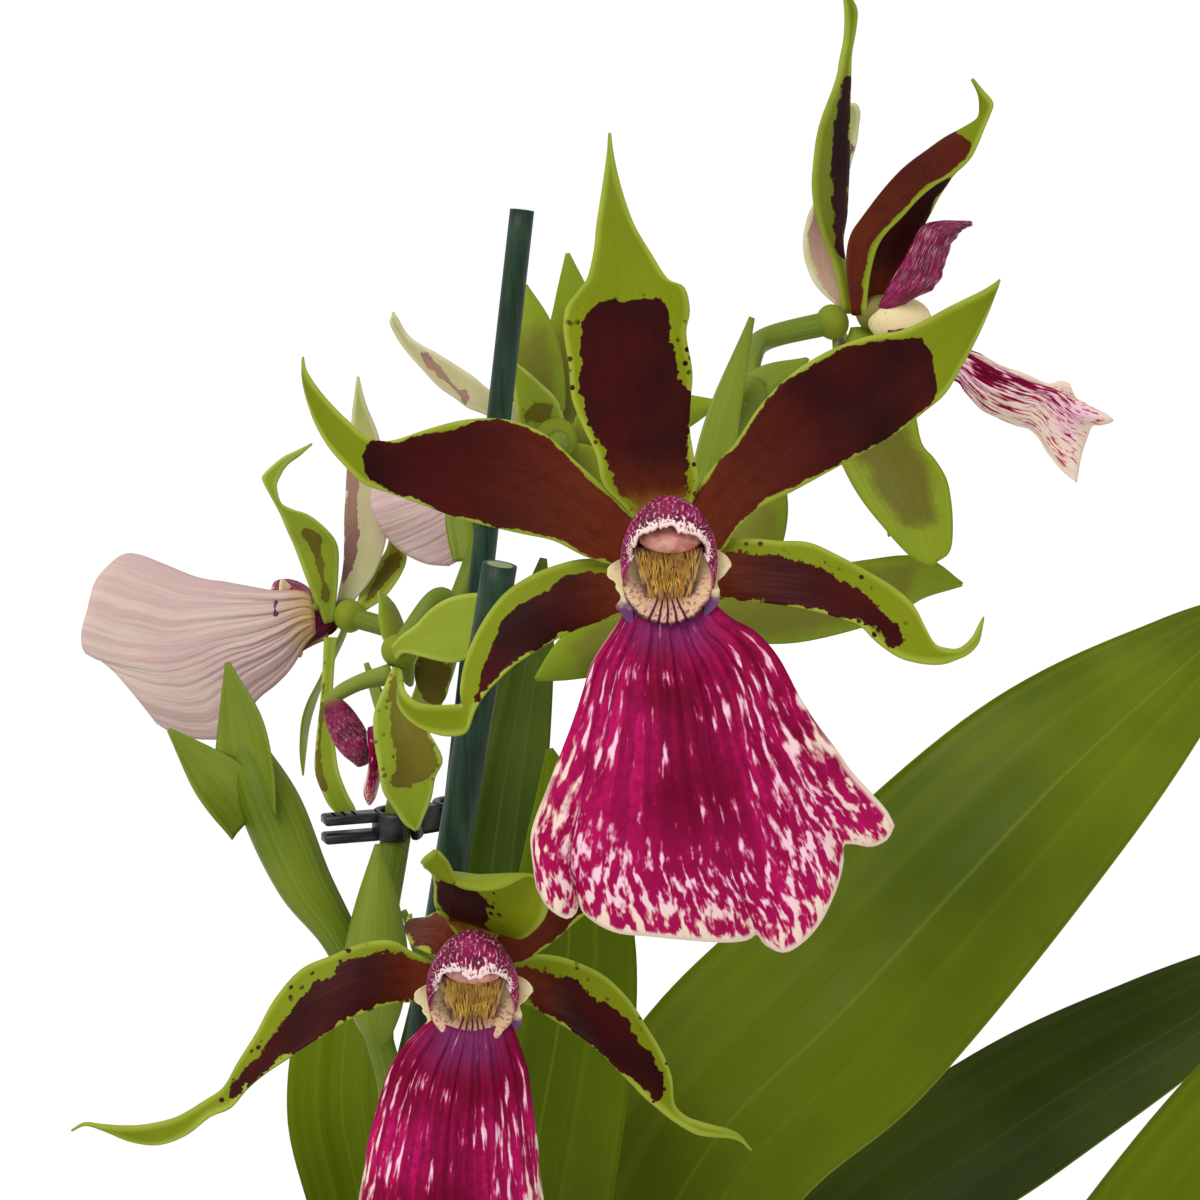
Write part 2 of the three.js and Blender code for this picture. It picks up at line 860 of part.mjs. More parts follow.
// Turns the column's own frame into the bloom's
function bloomTurn({ aim, crown }) {
  const forward = vector(aim).normalize();
  const up = vector(crown);
  up.addScaledVector(forward, -up.dot(forward)).normalize();
  const right = up.clone().cross(forward);
  return new THREE.Matrix4().makeBasis(right, forward.clone().negate(), up);
}

// Turns a bloom's own millimetres into the plant's
function bloomPlace({ at }) {
  const place = new THREE.Matrix4().makeRotationX(THREE.MathUtils.degToRad(VIEW_PITCH));
  return place.setPosition(...at);
}

function ball({ at, half }, sides, rings) {
  return new THREE.SphereGeometry(1, sides, rings).scale(...half).translate(...at);
}

function columnShape(spare) {
  const ends = [1.2 * spare, 0, 0, 0, -spare];
  const rows = COLUMN_ROWS.map(([x, y, z, a, b], i) => [x, y + ends[i], z, a + spare, b + spare]);
  return sweep(rows, { sides: 8, steps: 6, face: new THREE.Vector3(0, 0, 1) });
}

// Trims what would touch the column, and drops any scrap that the cut leaves
function clearOfColumn(geometry, turn) {
  const column = solidOf(columnShape(GAP).applyMatrix4(turn));
  const rest = solidOf(geometry).subtract(column).decompose();
  return geometryOf(rest.sort((one, other) => other.volume() - one.volume())[0]);
}

function tepalGeometry(tepal, hub, steps) {
  const first = vector(tepal.points[0]);
  const root = first.clone().sub(hub).setLength(ROOT_DEPTH).add(hub);
  const spine = [root.toArray(), ...tepal.points];
  const rows = [];
  for (let j = 0; j <= steps; j += 1) {
    const t = j / steps;
    const [turn] = along(tepal.turns.map((v) => [v]), t);
    const [share] = along(TEPAL_WIDTHS.map((v) => [v]), t);
    rows.push([...along(spine, t), Math.max(share * tepal.half, 0.3), turn, 0.05]);
  }
  const face = vector(tepal.face);
  return blade(rows, { face, across: 4, steps, thick: TEPAL_THICK, fold: tepal.fold });
}

function tepalsGeometry(bloom) {
  const turn = bloomTurn(bloom);
  const hub = vector(HUB.at).applyMatrix4(turn);
  const pieces = [ball(HUB, 7, 5).applyMatrix4(turn)];
  for (const tepal of bloom.tepals) pieces.push(tepalGeometry(tepal, hub, bloom.steps));
  return clearOfColumn(fuse(pieces), turn).applyMatrix4(bloomPlace(bloom));
}

function lipGeometry(bloom) {
  const turn = bloomTurn(bloom);
  const neck = vector(LIP_NECK.at).applyMatrix4(turn);
  const rows = [[...neck.toArray(), LIP_NECK.half, 0, LIP_NECK.cup]];
  for (const [x, y, z, half, cup] of bloom.lip.rows) rows.push([x, y, z, half, 0, cup]);
  const sheet = blade(rows, {
    face: vector(bloom.lip.face),
    across: 6,
    steps: bloom.steps - 1,
    thick: LIP_THICK,
    wave: bloom.lip.wave,
    waves: 2.5,
  });
  const horseshoe = sweep(CALLUS_ROWS, { sides: 6, steps: 6 }).applyMatrix4(turn);
  const cushion = ball(CALLUS_CUSHION, 7, 4).applyMatrix4(turn);
  const lip = clearOfColumn(fuse([sheet, horseshoe, cushion]), turn);
  return lip.applyMatrix4(bloomPlace(bloom));
}

function columnGeometry(bloom) {
  return columnShape(0).applyMatrix4(bloomTurn(bloom)).applyMatrix4(bloomPlace(bloom));
}

// Where a pedicel ends, a small gap behind a bloom's ovary
function socket(bloom) {
  const back = [0, HUB.at[1] + HUB.half[1] + SOCKET_GAP, HUB.at[2]];
  return vector(back).applyMatrix4(bloomTurn(bloom)).applyMatrix4(bloomPlace(bloom));
}

// Flower spikes: rows of x, y, z and radius. A pedicel's rows end at its bloom. Bracts clasp the
// stem, with rows as a leaf's
const SPIKES = {
  spike_front: {
    stem: [
      [5, -20, 80, 3],
      [8, -21, 112, 3.1],
      [23, -27, 200, 3],
      [36.5, -31, 285, 2.7],
      [45, -37, 346, 2.4],
      [57, -45, 376, 2.1],
      [65, -48, 398, 1.9],
      [75, -41, 421, 1.8],
      [82, -33, 435, 1.6],
    ],
    pedicels: [
      { bloom: "b", rows: [[45, -37, 347, 1.4], [47, -46, 353, 1.4], [48, -60, 361, 1.7]] },
      { bloom: "g", rows: [[64, -47.6, 395, 1.4], [66, -42, 398, 1.4], [71, -34, 400, 1.6]] },
      { bloom: "a", rows: [[66, -48, 400, 1.4], [67.4, -58, 406, 1.4], [69.4, -74, 414, 1.7]] },
      { bloom: "c", rows: [[81, -34, 433.6, 1.5], [81.4, -28, 437.4, 1.5], [83.8, -21.6, 439.4, 1.5]] },
    ],
    bracts: [
      {
        face: [1, 0.4, 0.3],
        rows: [[43, -36.4, 346, 2.6, 0, 0.8], [40, -38, 356, 3, 0, 0.6], [36.6, -38.6, 367, 0.3, 0, 0.2]],
      },
      {
        face: [0.8, 0.6, 0],
        rows: [[73, -42, 418, 2.6, 0, 0.8], [75.6, -41.6, 430, 3.2, 0, 0.6], [81, -40, 444, 0.3, 0, 0.2]],
      },
      {
        face: [-0.5, 0.8, 0],
        rows: [[78.4, -37, 428, 2.4, 0, 0.8], [84, -33.6, 434, 3, 0, 0.6], [88.6, -30, 437.6, 0.3, 0, 0.2]],
      },
    ],
  },
  spike_rear: {
    stem: [
      [-10, 26, 80, 3],
      [-9, 26, 112, 3.1],
      [4, 28, 200, 2.9],
      [18, 30, 285, 2.6],
      [30, 33, 350, 2.3],
      [34.5, 41, 374, 2.1],
      [42.4, 51.5, 396, 1.8],
      [47, 55, 409, 1.5],
    ],
    pedicels: [
      {
        bloom: "e",
        rows: [[33.8, 39.6, 371, 1.4], [39, 35, 384, 1.4], [40.6, 28, 393.6, 1.4], [38.4, 23.6, 397, 1.5]],
      },
      { bloom: "d", rows: [[35, 42, 376, 1.4], [35.4, 48.4, 381, 1.4], [32, 55.4, 385.6, 1.5]] },
      { bloom: "f", rows: [[46.6, 54.6, 408, 1.5], [50.8, 51.6, 412.6, 1.4], [55.6, 50.8, 416, 1.5]] },
    ],
    bracts: [
      {
        face: [1, 0, 0.3],
        rows: [[32.4, 38, 366, 2.6, 0, 0.8], [29.6, 40, 375, 3, 0, 0.6], [27, 42, 384, 0.3, 0, 0.2]],
      },
      {
        face: [-0.6, -0.6, 0],
        rows: [[43, 52.6, 398, 2.4, 0, 0.8], [42, 56, 406, 2.8, 0, 0.6], [42.6, 58.6, 415, 0.3, 0, 0.2]],
      },
    ],
  },
  spike_young: {
    stem: [
      [10, -37, 80, 2.4],
      [11, -37, 112, 2.5],
      [19, -40, 200, 2.4],
      [28, -42, 285, 2.1],
      [35, -43.6, 335, 1.9],
      [33.6, -44.6, 352, 1.8],
      [29, -43.6, 364, 2.4],
      [24, -42.4, 372, 3.6],
      [20, -41, 381, 4],
      [17, -40, 388, 2.6],
      [16, -39.6, 392, 0.9],
    ],
    pedicels: [],
    bracts: [
      {
        face: [-0.5, -0.8, 0.2],
        rows: [[19, -42, 381, 4, 0, 0.6], [17.6, -42, 390, 4.2, 0, 0.4], [14.6, -40, 400, 0.3, 0, 0.1]],
      },
      {
        face: [0.2, -0.9, 0.4],
        rows: [[17, -42, 379.6, 3.6, 0, 0.6], [13, -42.4, 385, 3.4, 0, 0.4], [7, -41, 391.4, 0.3, 0, 0.1]],
      },
    ],
    buds: [
      [
        [33.6, -44.8, 351, 1.2],
        [33.4, -46, 356, 3.3],
        [33.5, -46.8, 363, 4.1],
        [33.7, -46.4, 370, 2.8],
        [33.8, -46, 377.6, 0.4],
      ],
    ],
  },
};
const PEDICEL_TIP = 1.6;

function spikeGeometry({ stem, pedicels, bracts, buds = [] }) {
  const pieces = [sweep(stem, { sides: STEM_SIDES, steps: 2 * (stem.length - 1) })];
  for (const { bloom, rows } of pedicels) {
    const end = socket(BLOOMS[bloom]).toArray();
    pieces.push(sweep([...rows, [...end, PEDICEL_TIP]], { sides: 6, steps: 6 }));
  }
  for (const rows of buds) pieces.push(sweep(rows, { sides: 8, steps: 7 }));
  for (const { face, rows } of bracts) {
    pieces.push(blade(rows, { face: vector(face), across: 4, steps: 4, thick: BRACT_THICK }));
  }
  return fuse(pieces);
}

function potInside(z) {
  return POT_BASE_RADIUS - POT_WALL + ((POT_TOP_RADIUS - POT_BASE_RADIUS) * z) / POT_HEIGHT;
}

function potShell() {
  const rimFoot = POT_HEIGHT - RIM_HEIGHT;
  const profile = [
    [0, 0],
    [POT_BASE_RADIUS - 2, 0],
    [POT_BASE_RADIUS, 2],
    [potInside(rimFoot) + POT_WALL, rimFoot],
    [RIM_RADIUS - 0.6, rimFoot + 0.8],
    [RIM_RADIUS, POT_HEIGHT - 1],
    [RIM_RADIUS - 1, POT_HEIGHT],
    [potInside(POT_HEIGHT), POT_HEIGHT],
    [potInside(POT_FLOOR), POT_FLOOR],
    [0, POT_FLOOR],
  ];
  let shell = solidOf(lathe(profile, 36));
  for (let k = 0; k < DRAIN_HOLES; k += 1) {
    const turn = (2 * Math.PI * (k + 0.5)) / DRAIN_HOLES;
    const hole = new THREE.CylinderGeometry(DRAIN_RADIUS, DRAIN_RADIUS, 3 * POT_FLOOR, 8);
    hole.rotateX(Math.PI / 2);
    hole.translate(DRAIN_RING * Math.cos(turn), DRAIN_RING * Math.sin(turn), POT_FLOOR / 2);
    shell = shell.subtract(solidOf(hole));
  }
  return geometryOf(shell);
}

// Shares of a pseudobulb's height and widest radius from its foot to its top
const BULB_SHAPE = [
  [0, 0.62],
  [0.16, 0.9],
  [0.4, 1],
  [0.66, 0.88],
  [0.86, 0.64],
  [1, 0.42],
];

function bulbGeometry({ at, radius, top }, spare = 0) {
  const height = top - BULB_FOOT;
  const rows = BULB_SHAPE.map(([up, wide], i) => {
    const z = BULB_FOOT + up * height - (i === 0 ? spare : 0);
    return [at[0], at[1], z, wide * radius + spare, wide * radius * 0.88 + spare];
  });
  return sweep(rows, { sides: 9, steps: 6 });
}

function stakeGeometry({ foot, top, radius }, spare = 0) {
  const low = vector(foot);
  const high = vector(top);
  const axis = high.clone().sub(low);
  const rod = new THREE.CylinderGeometry(radius + spare, radius + spare, axis.length(), STAKE_SIDES);
  const upright = new THREE.Vector3(0, 1, 0);
  rod.applyQuaternion(new THREE.Quaternion().setFromUnitVectors(upright, axis.clone().normalize()));
  const middle = low.add(high).multiplyScalar(0.5);
  return rod.translate(middle.x, middle.y, middle.z);
}

function stemGeometry({ stem }, spare) {
  const rows = stem.map(([x, y, z, radius]) => [x, y, z, radius + spare]);
  return sweep(rows, { sides: STEM_SIDES, steps: 2 * (stem.length - 1) });
}

// The bark mix fills the pot. Chips lie on it by a seeded draw, and stems stand in plain holes.
// A chip's length, width and height are each a least value and a spread.
const CHIP_LENGTH = [9, 9];
const CHIP_WIDTH = [5, 4];
const CHIP_DEPTH = [3.5, 2.5];
const CHIP_TILT = 0.65;
const CHIP_SPIRAL = 2.4;
const BARK_CLEAR = GAP + 0.15;

function barkGeometry() {
  const random = seeded(7);
  const draw = ([least, spread]) => least + spread * random();
  const floor = POT_FLOOR + BARK_CLEAR;
  const edge = potInside(BARK_LEVEL) - BARK_CLEAR;
  const profile = [
    [0, floor],
    [potInside(floor) - BARK_CLEAR, floor],
    [edge, BARK_LEVEL],
    [0, BARK_LEVEL + 2],
  ];
  let bark = solidOf(lathe(profile, 24));
  for (let k = 0; k < CHIP_COUNT; k += 1) {
    const length = draw(CHIP_LENGTH);
    const reach = (edge - 0.62 * length) * Math.sqrt((k + 0.5) / CHIP_COUNT);
    const turn = k * CHIP_SPIRAL + 0.5 * random();
    const chip = new THREE.BoxGeometry(length, draw(CHIP_WIDTH), draw(CHIP_DEPTH));
    chip.rotateX(CHIP_TILT * (random() - 0.5)).rotateY(CHIP_TILT * (random() - 0.5));
    chip.rotateZ(Math.PI * random());
    chip.translate(reach * Math.cos(turn), reach * Math.sin(turn), BARK_LEVEL + 0.6 + 1.6 * random());
    bark = bark.add(solidOf(chip));
  }
  for (const bulb of Object.values(BULBS)) bark = bark.subtract(solidOf(bulbGeometry(bulb, GAP)));
  for (const stake of Object.values(STAKES)) bark = bark.subtract(solidOf(stakeGeometry(stake, GAP)));
  for (const spike of Object.values(SPIKES)) bark = bark.subtract(solidOf(stemGeometry(spike, GAP)));
  const pieces = bark.decompose().sort((one, other) => other.volume() - one.volume());
  return geometryOf(pieces[0]);
}

// Spring clips: the stake, the spike, the height of the clip and the way its finger tabs point
const CLIPS = {
  clip_1: { stake: "stake_rear", spike: "spike_rear", height: 361, tabs: [-1, -0.35, 0] },
  clip_2: { stake: "stake_front", spike: "spike_front", height: 312, tabs: [0.2, 1, 0] },
  clip_3: { stake: "stake_rear", spike: "spike_rear", height: 240, tabs: [-1, -0.2, 0] },
};
const CLIP_HEIGHT = 4.2;
const CLIP_WALL = 1.3;
const CLIP_BRIDGE = 3;
const TAB_LENGTH = 12;
const TAB_WIDTH = 3.2;
const TAB_THICK = 1.4;
const TAB_REACH = 5.5;

function pointAtHeight(rows, height) {
  let low = 0;
  let high = 1;
  for (let k = 0; k < 30; k += 1) {
    const middle = (low + high) / 2;
    if (along(rows, middle)[2] < height) low = middle;
    else high = middle;
  }
  return along(rows, low);
}

function clipGeometry({ stake, spike, height, tabs }) {
  const { foot, top, radius } = STAKES[stake];
  const onStake = pointAtHeight([foot, top], height);
  const onStem = pointAtHeight(SPIKES[spike].stem, height);
  const pieces = [];
  for (const [point, inner] of [
    [onStake, radius],
    [onStem, onStem[3]],
  ]) {
    const outer = inner + GAP + CLIP_WALL;
    const collar = new THREE.CylinderGeometry(outer, outer, CLIP_HEIGHT, 10).rotateX(Math.PI / 2);
    pieces.push(collar.translate(point[0], point[1], height));
  }
  const gap = vector(onStem).sub(vector(onStake));
  const bridge = new THREE.BoxGeometry(Math.hypot(gap.x, gap.y), CLIP_BRIDGE, CLIP_HEIGHT);
  bridge.rotateZ(Math.atan2(gap.y, gap.x));
  pieces.push(bridge.translate((onStake[0] + onStem[0]) / 2, (onStake[1] + onStem[1]) / 2, height));
  const way = vector(tabs).normalize();
  for (const end of [-1, 1]) {
    const tab = new THREE.BoxGeometry(TAB_LENGTH, TAB_WIDTH, TAB_THICK).rotateZ(Math.atan2(way.y, way.x));
    const z = height + (end * (CLIP_HEIGHT - TAB_THICK)) / 2;
    pieces.push(tab.translate(onStem[0] + way.x * TAB_REACH, onStem[1] + way.y * TAB_REACH, z));
  }
  let clip = pieces.map(solidOf).reduce((whole, piece) => whole.add(piece));
  clip = clip.subtract(solidOf(stakeGeometry(STAKES[stake], GAP)));
  clip = clip.subtract(solidOf(stemGeometry(SPIKES[spike], GAP)));
  const bodies = clip.decompose().sort((one, other) => other.volume() - one.volume());
  return geometryOf(bodies[0]);
}

const group = new THREE.Group();
group.add(part("pot", potShell(), "pot"));
group.add(part("bark", barkGeometry(), "bark"));
for (const [name, bulb] of Object.entries(BULBS)) group.add(part(name, bulbGeometry(bulb), "bulb"));
for (const [name, { face, rows }] of Object.entries(LEAVES)) {
  const shape = { face: vector(face), across: 4, steps: 11, thick: LEAF_THICK, fold: LEAF_FOLD };
  group.add(part(name, blade(rows, shape), "leaf"));
}
for (const leaf of ARCHING) {
  const face = vector(archingFace(leaf));
  const shape = { face, across: 4, steps: 8, thick: LEAF_THICK, fold: LEAF_FOLD };
  group.add(part(leaf.name, blade(archingRows(leaf), shape), "leaf"));
}
for (const [name, stake] of Object.entries(STAKES)) group.add(part(name, stakeGeometry(stake), "stake"));
for (const [name, spike] of Object.entries(SPIKES)) group.add(part(name, spikeGeometry(spike), "stem"));
for (const [name, clip] of Object.entries(CLIPS)) group.add(part(name, clipGeometry(clip), "clip"));
for (const [name, bloom] of Object.entries(BLOOMS)) {
  group.add(part(`tepals_${name}`, tepalsGeometry(bloom), "tepal"));
  group.add(part(`lip_${name}`, lipGeometry(bloom), "lip"));
  group.add(part(`column_${name}`, columnGeometry(bloom), "column"));
}

export default group;
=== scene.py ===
import math

import bmesh
import bpy
from mathutils import Matrix, Vector, noise


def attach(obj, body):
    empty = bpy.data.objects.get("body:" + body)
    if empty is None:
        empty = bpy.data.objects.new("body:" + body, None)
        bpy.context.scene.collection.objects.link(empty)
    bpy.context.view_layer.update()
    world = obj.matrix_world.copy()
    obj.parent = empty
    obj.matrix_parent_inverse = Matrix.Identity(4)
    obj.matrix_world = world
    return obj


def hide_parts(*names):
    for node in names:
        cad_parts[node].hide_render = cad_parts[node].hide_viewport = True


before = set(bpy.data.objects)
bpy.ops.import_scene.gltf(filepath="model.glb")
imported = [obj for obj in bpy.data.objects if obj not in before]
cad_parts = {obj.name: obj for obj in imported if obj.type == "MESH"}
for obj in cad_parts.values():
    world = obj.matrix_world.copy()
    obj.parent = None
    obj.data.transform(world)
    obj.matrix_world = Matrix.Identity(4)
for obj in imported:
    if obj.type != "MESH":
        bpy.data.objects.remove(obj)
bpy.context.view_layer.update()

# All lengths below are in millimetres, in the plant's own frame; MM makes them metres
MM = 0.001
VIEW_PITCH = math.radians(-10)


# Curves and surfaces


def along(rows, t):
    """Smooth values between the rows of a table, each column alike; t runs from 0 to 1"""
    spans = len(rows) - 1
    x = min(max(t, 0.0), 1.0) * spans
    i = min(int(x), spans - 1)
    f = x - i

    def row(k):
        if k < 0:
            return [2 * v - w for v, w in zip(rows[0], rows[1])]
        if k > spans:
            return [2 * v - w for v, w in zip(rows[spans], rows[spans - 1])]
        return rows[k]

    result = []
    for a, b, c, d in zip(row(i - 1), row(i), row(i + 1), row(i + 2)):
        bend = 2 * a - 5 * b + 4 * c - d
        result.append(0.5 * (2 * b + (c - a) * f + bend * f * f + (3 * b - a - 3 * c + d) * f**3))
    return result


def value_along(values, t):
    return along([[v] for v in values], t)[0]


def ease(low, high, x):
    """Rises smoothly from 0 at low to 1 at high"""
    t = min(max((x - low) / (high - low), 0.0), 1.0)
    return t * t * (3 - 2 * t)


def frame_at(rows, t, face, twist=0.0):
    """Side and normal of a line at t, with the normal turned towards face"""
    step = 0.01
    tangent = Vector(along(rows, t + step)[:3]) - Vector(along(rows, t - step)[:3])
    tangent.normalize()
    normal = (face - tangent * face.dot(tangent)).normalized()
    normal.rotate(Matrix.Rotation(math.radians(twist), 3, tangent))
    return tangent.cross(normal), normal


def paced(points):
    """A smooth line through the points, at an even pace; gives its point at a share of its length"""
    spans = len(points) - 1
    samples = [along(points, i / (12 * spans)) for i in range(12 * spans + 1)]
    reach = [0.0]
    for a, b in zip(samples, samples[1:]):
        reach.append(reach[-1] + math.dist(a, b))

    def at(share):
        wanted = min(max(share, 0.0), 1.0) * reach[-1]
        i = next((k for k in range(len(samples) - 1) if reach[k + 1] >= wanted), len(samples) - 2)
        f = (wanted - reach[i]) / max(reach[i + 1] - reach[i], 1e-9)
        return [a + (b - a) * f for a, b in zip(samples[i], samples[i + 1])]

    return at


def normals(grid, turned=False):
    """The face direction at each point of a grid of points"""
    rows, columns = len(grid), len(grid[0])
    result = []
    for j in range(rows):
        result.append([])
        for i in range(columns):
            side = grid[j][min(i + 1, columns - 1)] - grid[j][max(i - 1, 0)]
            down = grid[min(j + 1, rows - 1)][i] - grid[max(j - 1, 0)][i]
            normal = side.cross(down)
            if normal.length < 1e-6:
                normal = result[-1][-1] if result[-1] else result[j - 1][i]
            else:
                normal = normal.normalized() * (-1 if turned else 1)
            result[-1].append(normal)
    return result


# Both sides of a sheet coloured as its front
ALIKE = (0.0, 0.0)


def new_row(*grids):
    for grid in grids:
        grid.append([])


def note(fields, **values):
    """Adds a value to the last row of each named field"""
    for name, value in values.items():
        fields[name][-1].append(value)


def even_fields(rows, columns):
    """The shares along and across a plain grid"""
    along_it = [[j / rows] * (columns + 1) for j in range(rows + 1)]
    across_it = [[-1 + 2 * i / columns for i in range(columns + 1)]] * (rows + 1)
    return {"along": along_it, "across": across_it}


class Form:
    """The points, faces and named fields of one piece"""

    FIELDS = ("along", "across", "back", "inside", "foot", "rim", "tone", "edge")

    def __init__(self):
        self.points = []
        self.faces = []
        self.skins = []
        self.fields = {name: [] for name in self.FIELDS}

    def add(self, points, faces, skin=0, place=None, **fields):
        start = len(self.points)
        self.points += [place @ p for p in points] if place else points
        self.faces += [[start + i for i in face] for face in faces]
        self.skins += [skin] * len(faces)
        for name, values in self.fields.items():
            given = fields.get(name, 0.0)
            values += given if isinstance(given, list) else [given] * len(points)

    def sheet(self, front, back, skin=0, place=None, sides=(0.0, 1.0), **fields):
        """A thin closed body from two grids of points; fields hold one grid each"""
        rows, columns = len(front), len(front[0])
        points = [p for row in front for p in row] + [p for row in back for p in row]
        count = rows * columns
        faces = []
        for j in range(rows - 1):
            for i in range(columns - 1):
                a, b = j * columns + i, (j + 1) * columns + i
                faces.append((a, a + 1, b + 1, b))
                faces.append((count + a, count + b, count + b + 1, count + a + 1))
        edge = [(0, i) for i in range(columns - 1)]
        edge += [(j, columns - 1) for j in range(rows - 1)]
        edge += [(rows - 1, i) for i in range(columns - 1, 0, -1)]
        edge += [(j, 0) for j in range(rows - 1, 0, -1)]
        loop = [j * columns + i for j, i in edge]
        for a, b in zip(loop, loop[1:] + loop[:1]):
            faces.append((b, a, count + a, count + b))
        both = {}
        for name, grid in fields.items():
            if isinstance(grid, list):
                values = [v for row in grid for v in row]
                both[name] = values + values
            else:
                both[name] = grid
        both["back"] = [sides[0]] * count + [sides[1]] * count
        self.add(points, faces, skin, place, **both)

    def layer(self, grid, half, skin=0, place=None, turned=False, sides=(0.0, 1.0), **fields):
        """A closed sheet about a grid of middle points; half is its half thickness, point by point"""
        way = normals(grid, turned)
        front = [[p + n * h for p, n, h in zip(*rows)] for rows in zip(grid, way, half)]
        back = [[p - n * h for p, n, h in zip(*rows)] for rows in zip(grid, way, half)]
        if turned:
            front, back = [row[::-1] for row in front], [row[::-1] for row in back]
            fields = {k: [row[::-1] for row in v] if isinstance(v, list) else v for k, v in fields.items()}
        self.sheet(front, back, skin, place, sides, **fields)

    def tube(self, rows, sides=12, steps=24, face=None, skin=0, place=None, swell=None, **fields):
        """Rings along a line; rows are x, y, z and one or two half widths"""
        face = face or Vector((0, -1, 0.01))
        points, faces, down, round_ = [], [], [], []
        for j in range(steps + 1):
            t = j / steps
            x, y, z, a, *rest = along(rows, t)
            b = rest[0] if rest else a
            side, normal = frame_at(rows, t, face)
            for i in range(sides):
                turn = 2 * math.pi * i / sides
                grow = swell(t, turn) if swell else 1.0
                p = Vector((x, y, z)) + side * (a * grow * math.cos(turn))
                points.append(p + normal * (b * grow * math.sin(turn)))
                down.append(t)
                round_.append(math.cos(turn))
        for j in range(steps):
            for i in range(sides):
                k = (i + 1) % sides
                a, b = j * sides, (j + 1) * sides
                faces.append((a + i, b + i, b + k, a + k))
        faces.append(list(range(sides)))
        faces.append([steps * sides + i for i in range(sides - 1, -1, -1)])
        given = {"along": down, "across": round_}
        given.update(fields)
        self.add(points, faces, skin, place, **given)

    def ball(self, at, half, rings=10, sides=16, skin=0, place=None, **fields):
        rows = []
        for k in range(rings + 1):
            turn = math.pi * k / rings
            rows.append((-math.cos(turn), max(math.sin(turn), 0.02)))
        points, faces = [], []
        for up, wide in rows:
            for i in range(sides):
                turn = 2 * math.pi * i / sides
                offset = (half[0] * wide * math.cos(turn), half[1] * wide * math.sin(turn), half[2] * up)
                points.append(Vector(at) + Vector(offset))
        for j in range(rings):
            for i in range(sides):
                k = (i + 1) % sides
                a, b = j * sides, (j + 1) * sides
                faces.append((a + i, a + k, b + k, b + i))
        faces.append(list(range(sides - 1, -1, -1)))
        faces.append([rings * sides + i for i in range(sides)])
        self.add(points, faces, skin, place, **fields)

    def piece(self, name, finishes, place=None):
        """A finished object at the origin, its faces outward"""
        mesh = bpy.data.meshes.new(name)
        placed = [(place @ p if place else p) * MM for p in self.points]
        mesh.from_pydata(placed, [], self.faces)
        mesh.polygons.foreach_set("material_index", self.skins)
        for field, values in self.fields.items():
            layer = mesh.attributes.new(field, "FLOAT", "POINT")
            layer.data.foreach_set("value", values)
        for finish in finishes:
            mesh.materials.append(finish)
        shaped = bmesh.new()
        shaped.from_mesh(mesh)
        bmesh.ops.remove_doubles(shaped, verts=shaped.verts, dist=1e-7)
        bmesh.ops.recalc_face_normals(shaped, faces=shaped.faces)
        shaped.to_mesh(mesh)
        shaped.free()
        mesh.shade_smooth()
        made = bpy.data.objects.new(name, mesh)
        bpy.context.scene.collection.objects.link(made)
        return made


def settle(piece, slot, *nodes):
    """Gives a piece its body and the nodes that it stands for; slot is not used"""
    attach(piece, "root")
    if nodes:
        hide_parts(*nodes)
    return piece


# Finishes, built node by node


def tint(red, green, blue):
    """A colour given as it looks on a screen, 0 to 255"""

    def part(v):
        v /= 255
        return v / 12.92 if v <= 0.04045 else ((v + 0.055) / 1.055) ** 2.4

    return (part(red), part(green), part(blue), 1.0)


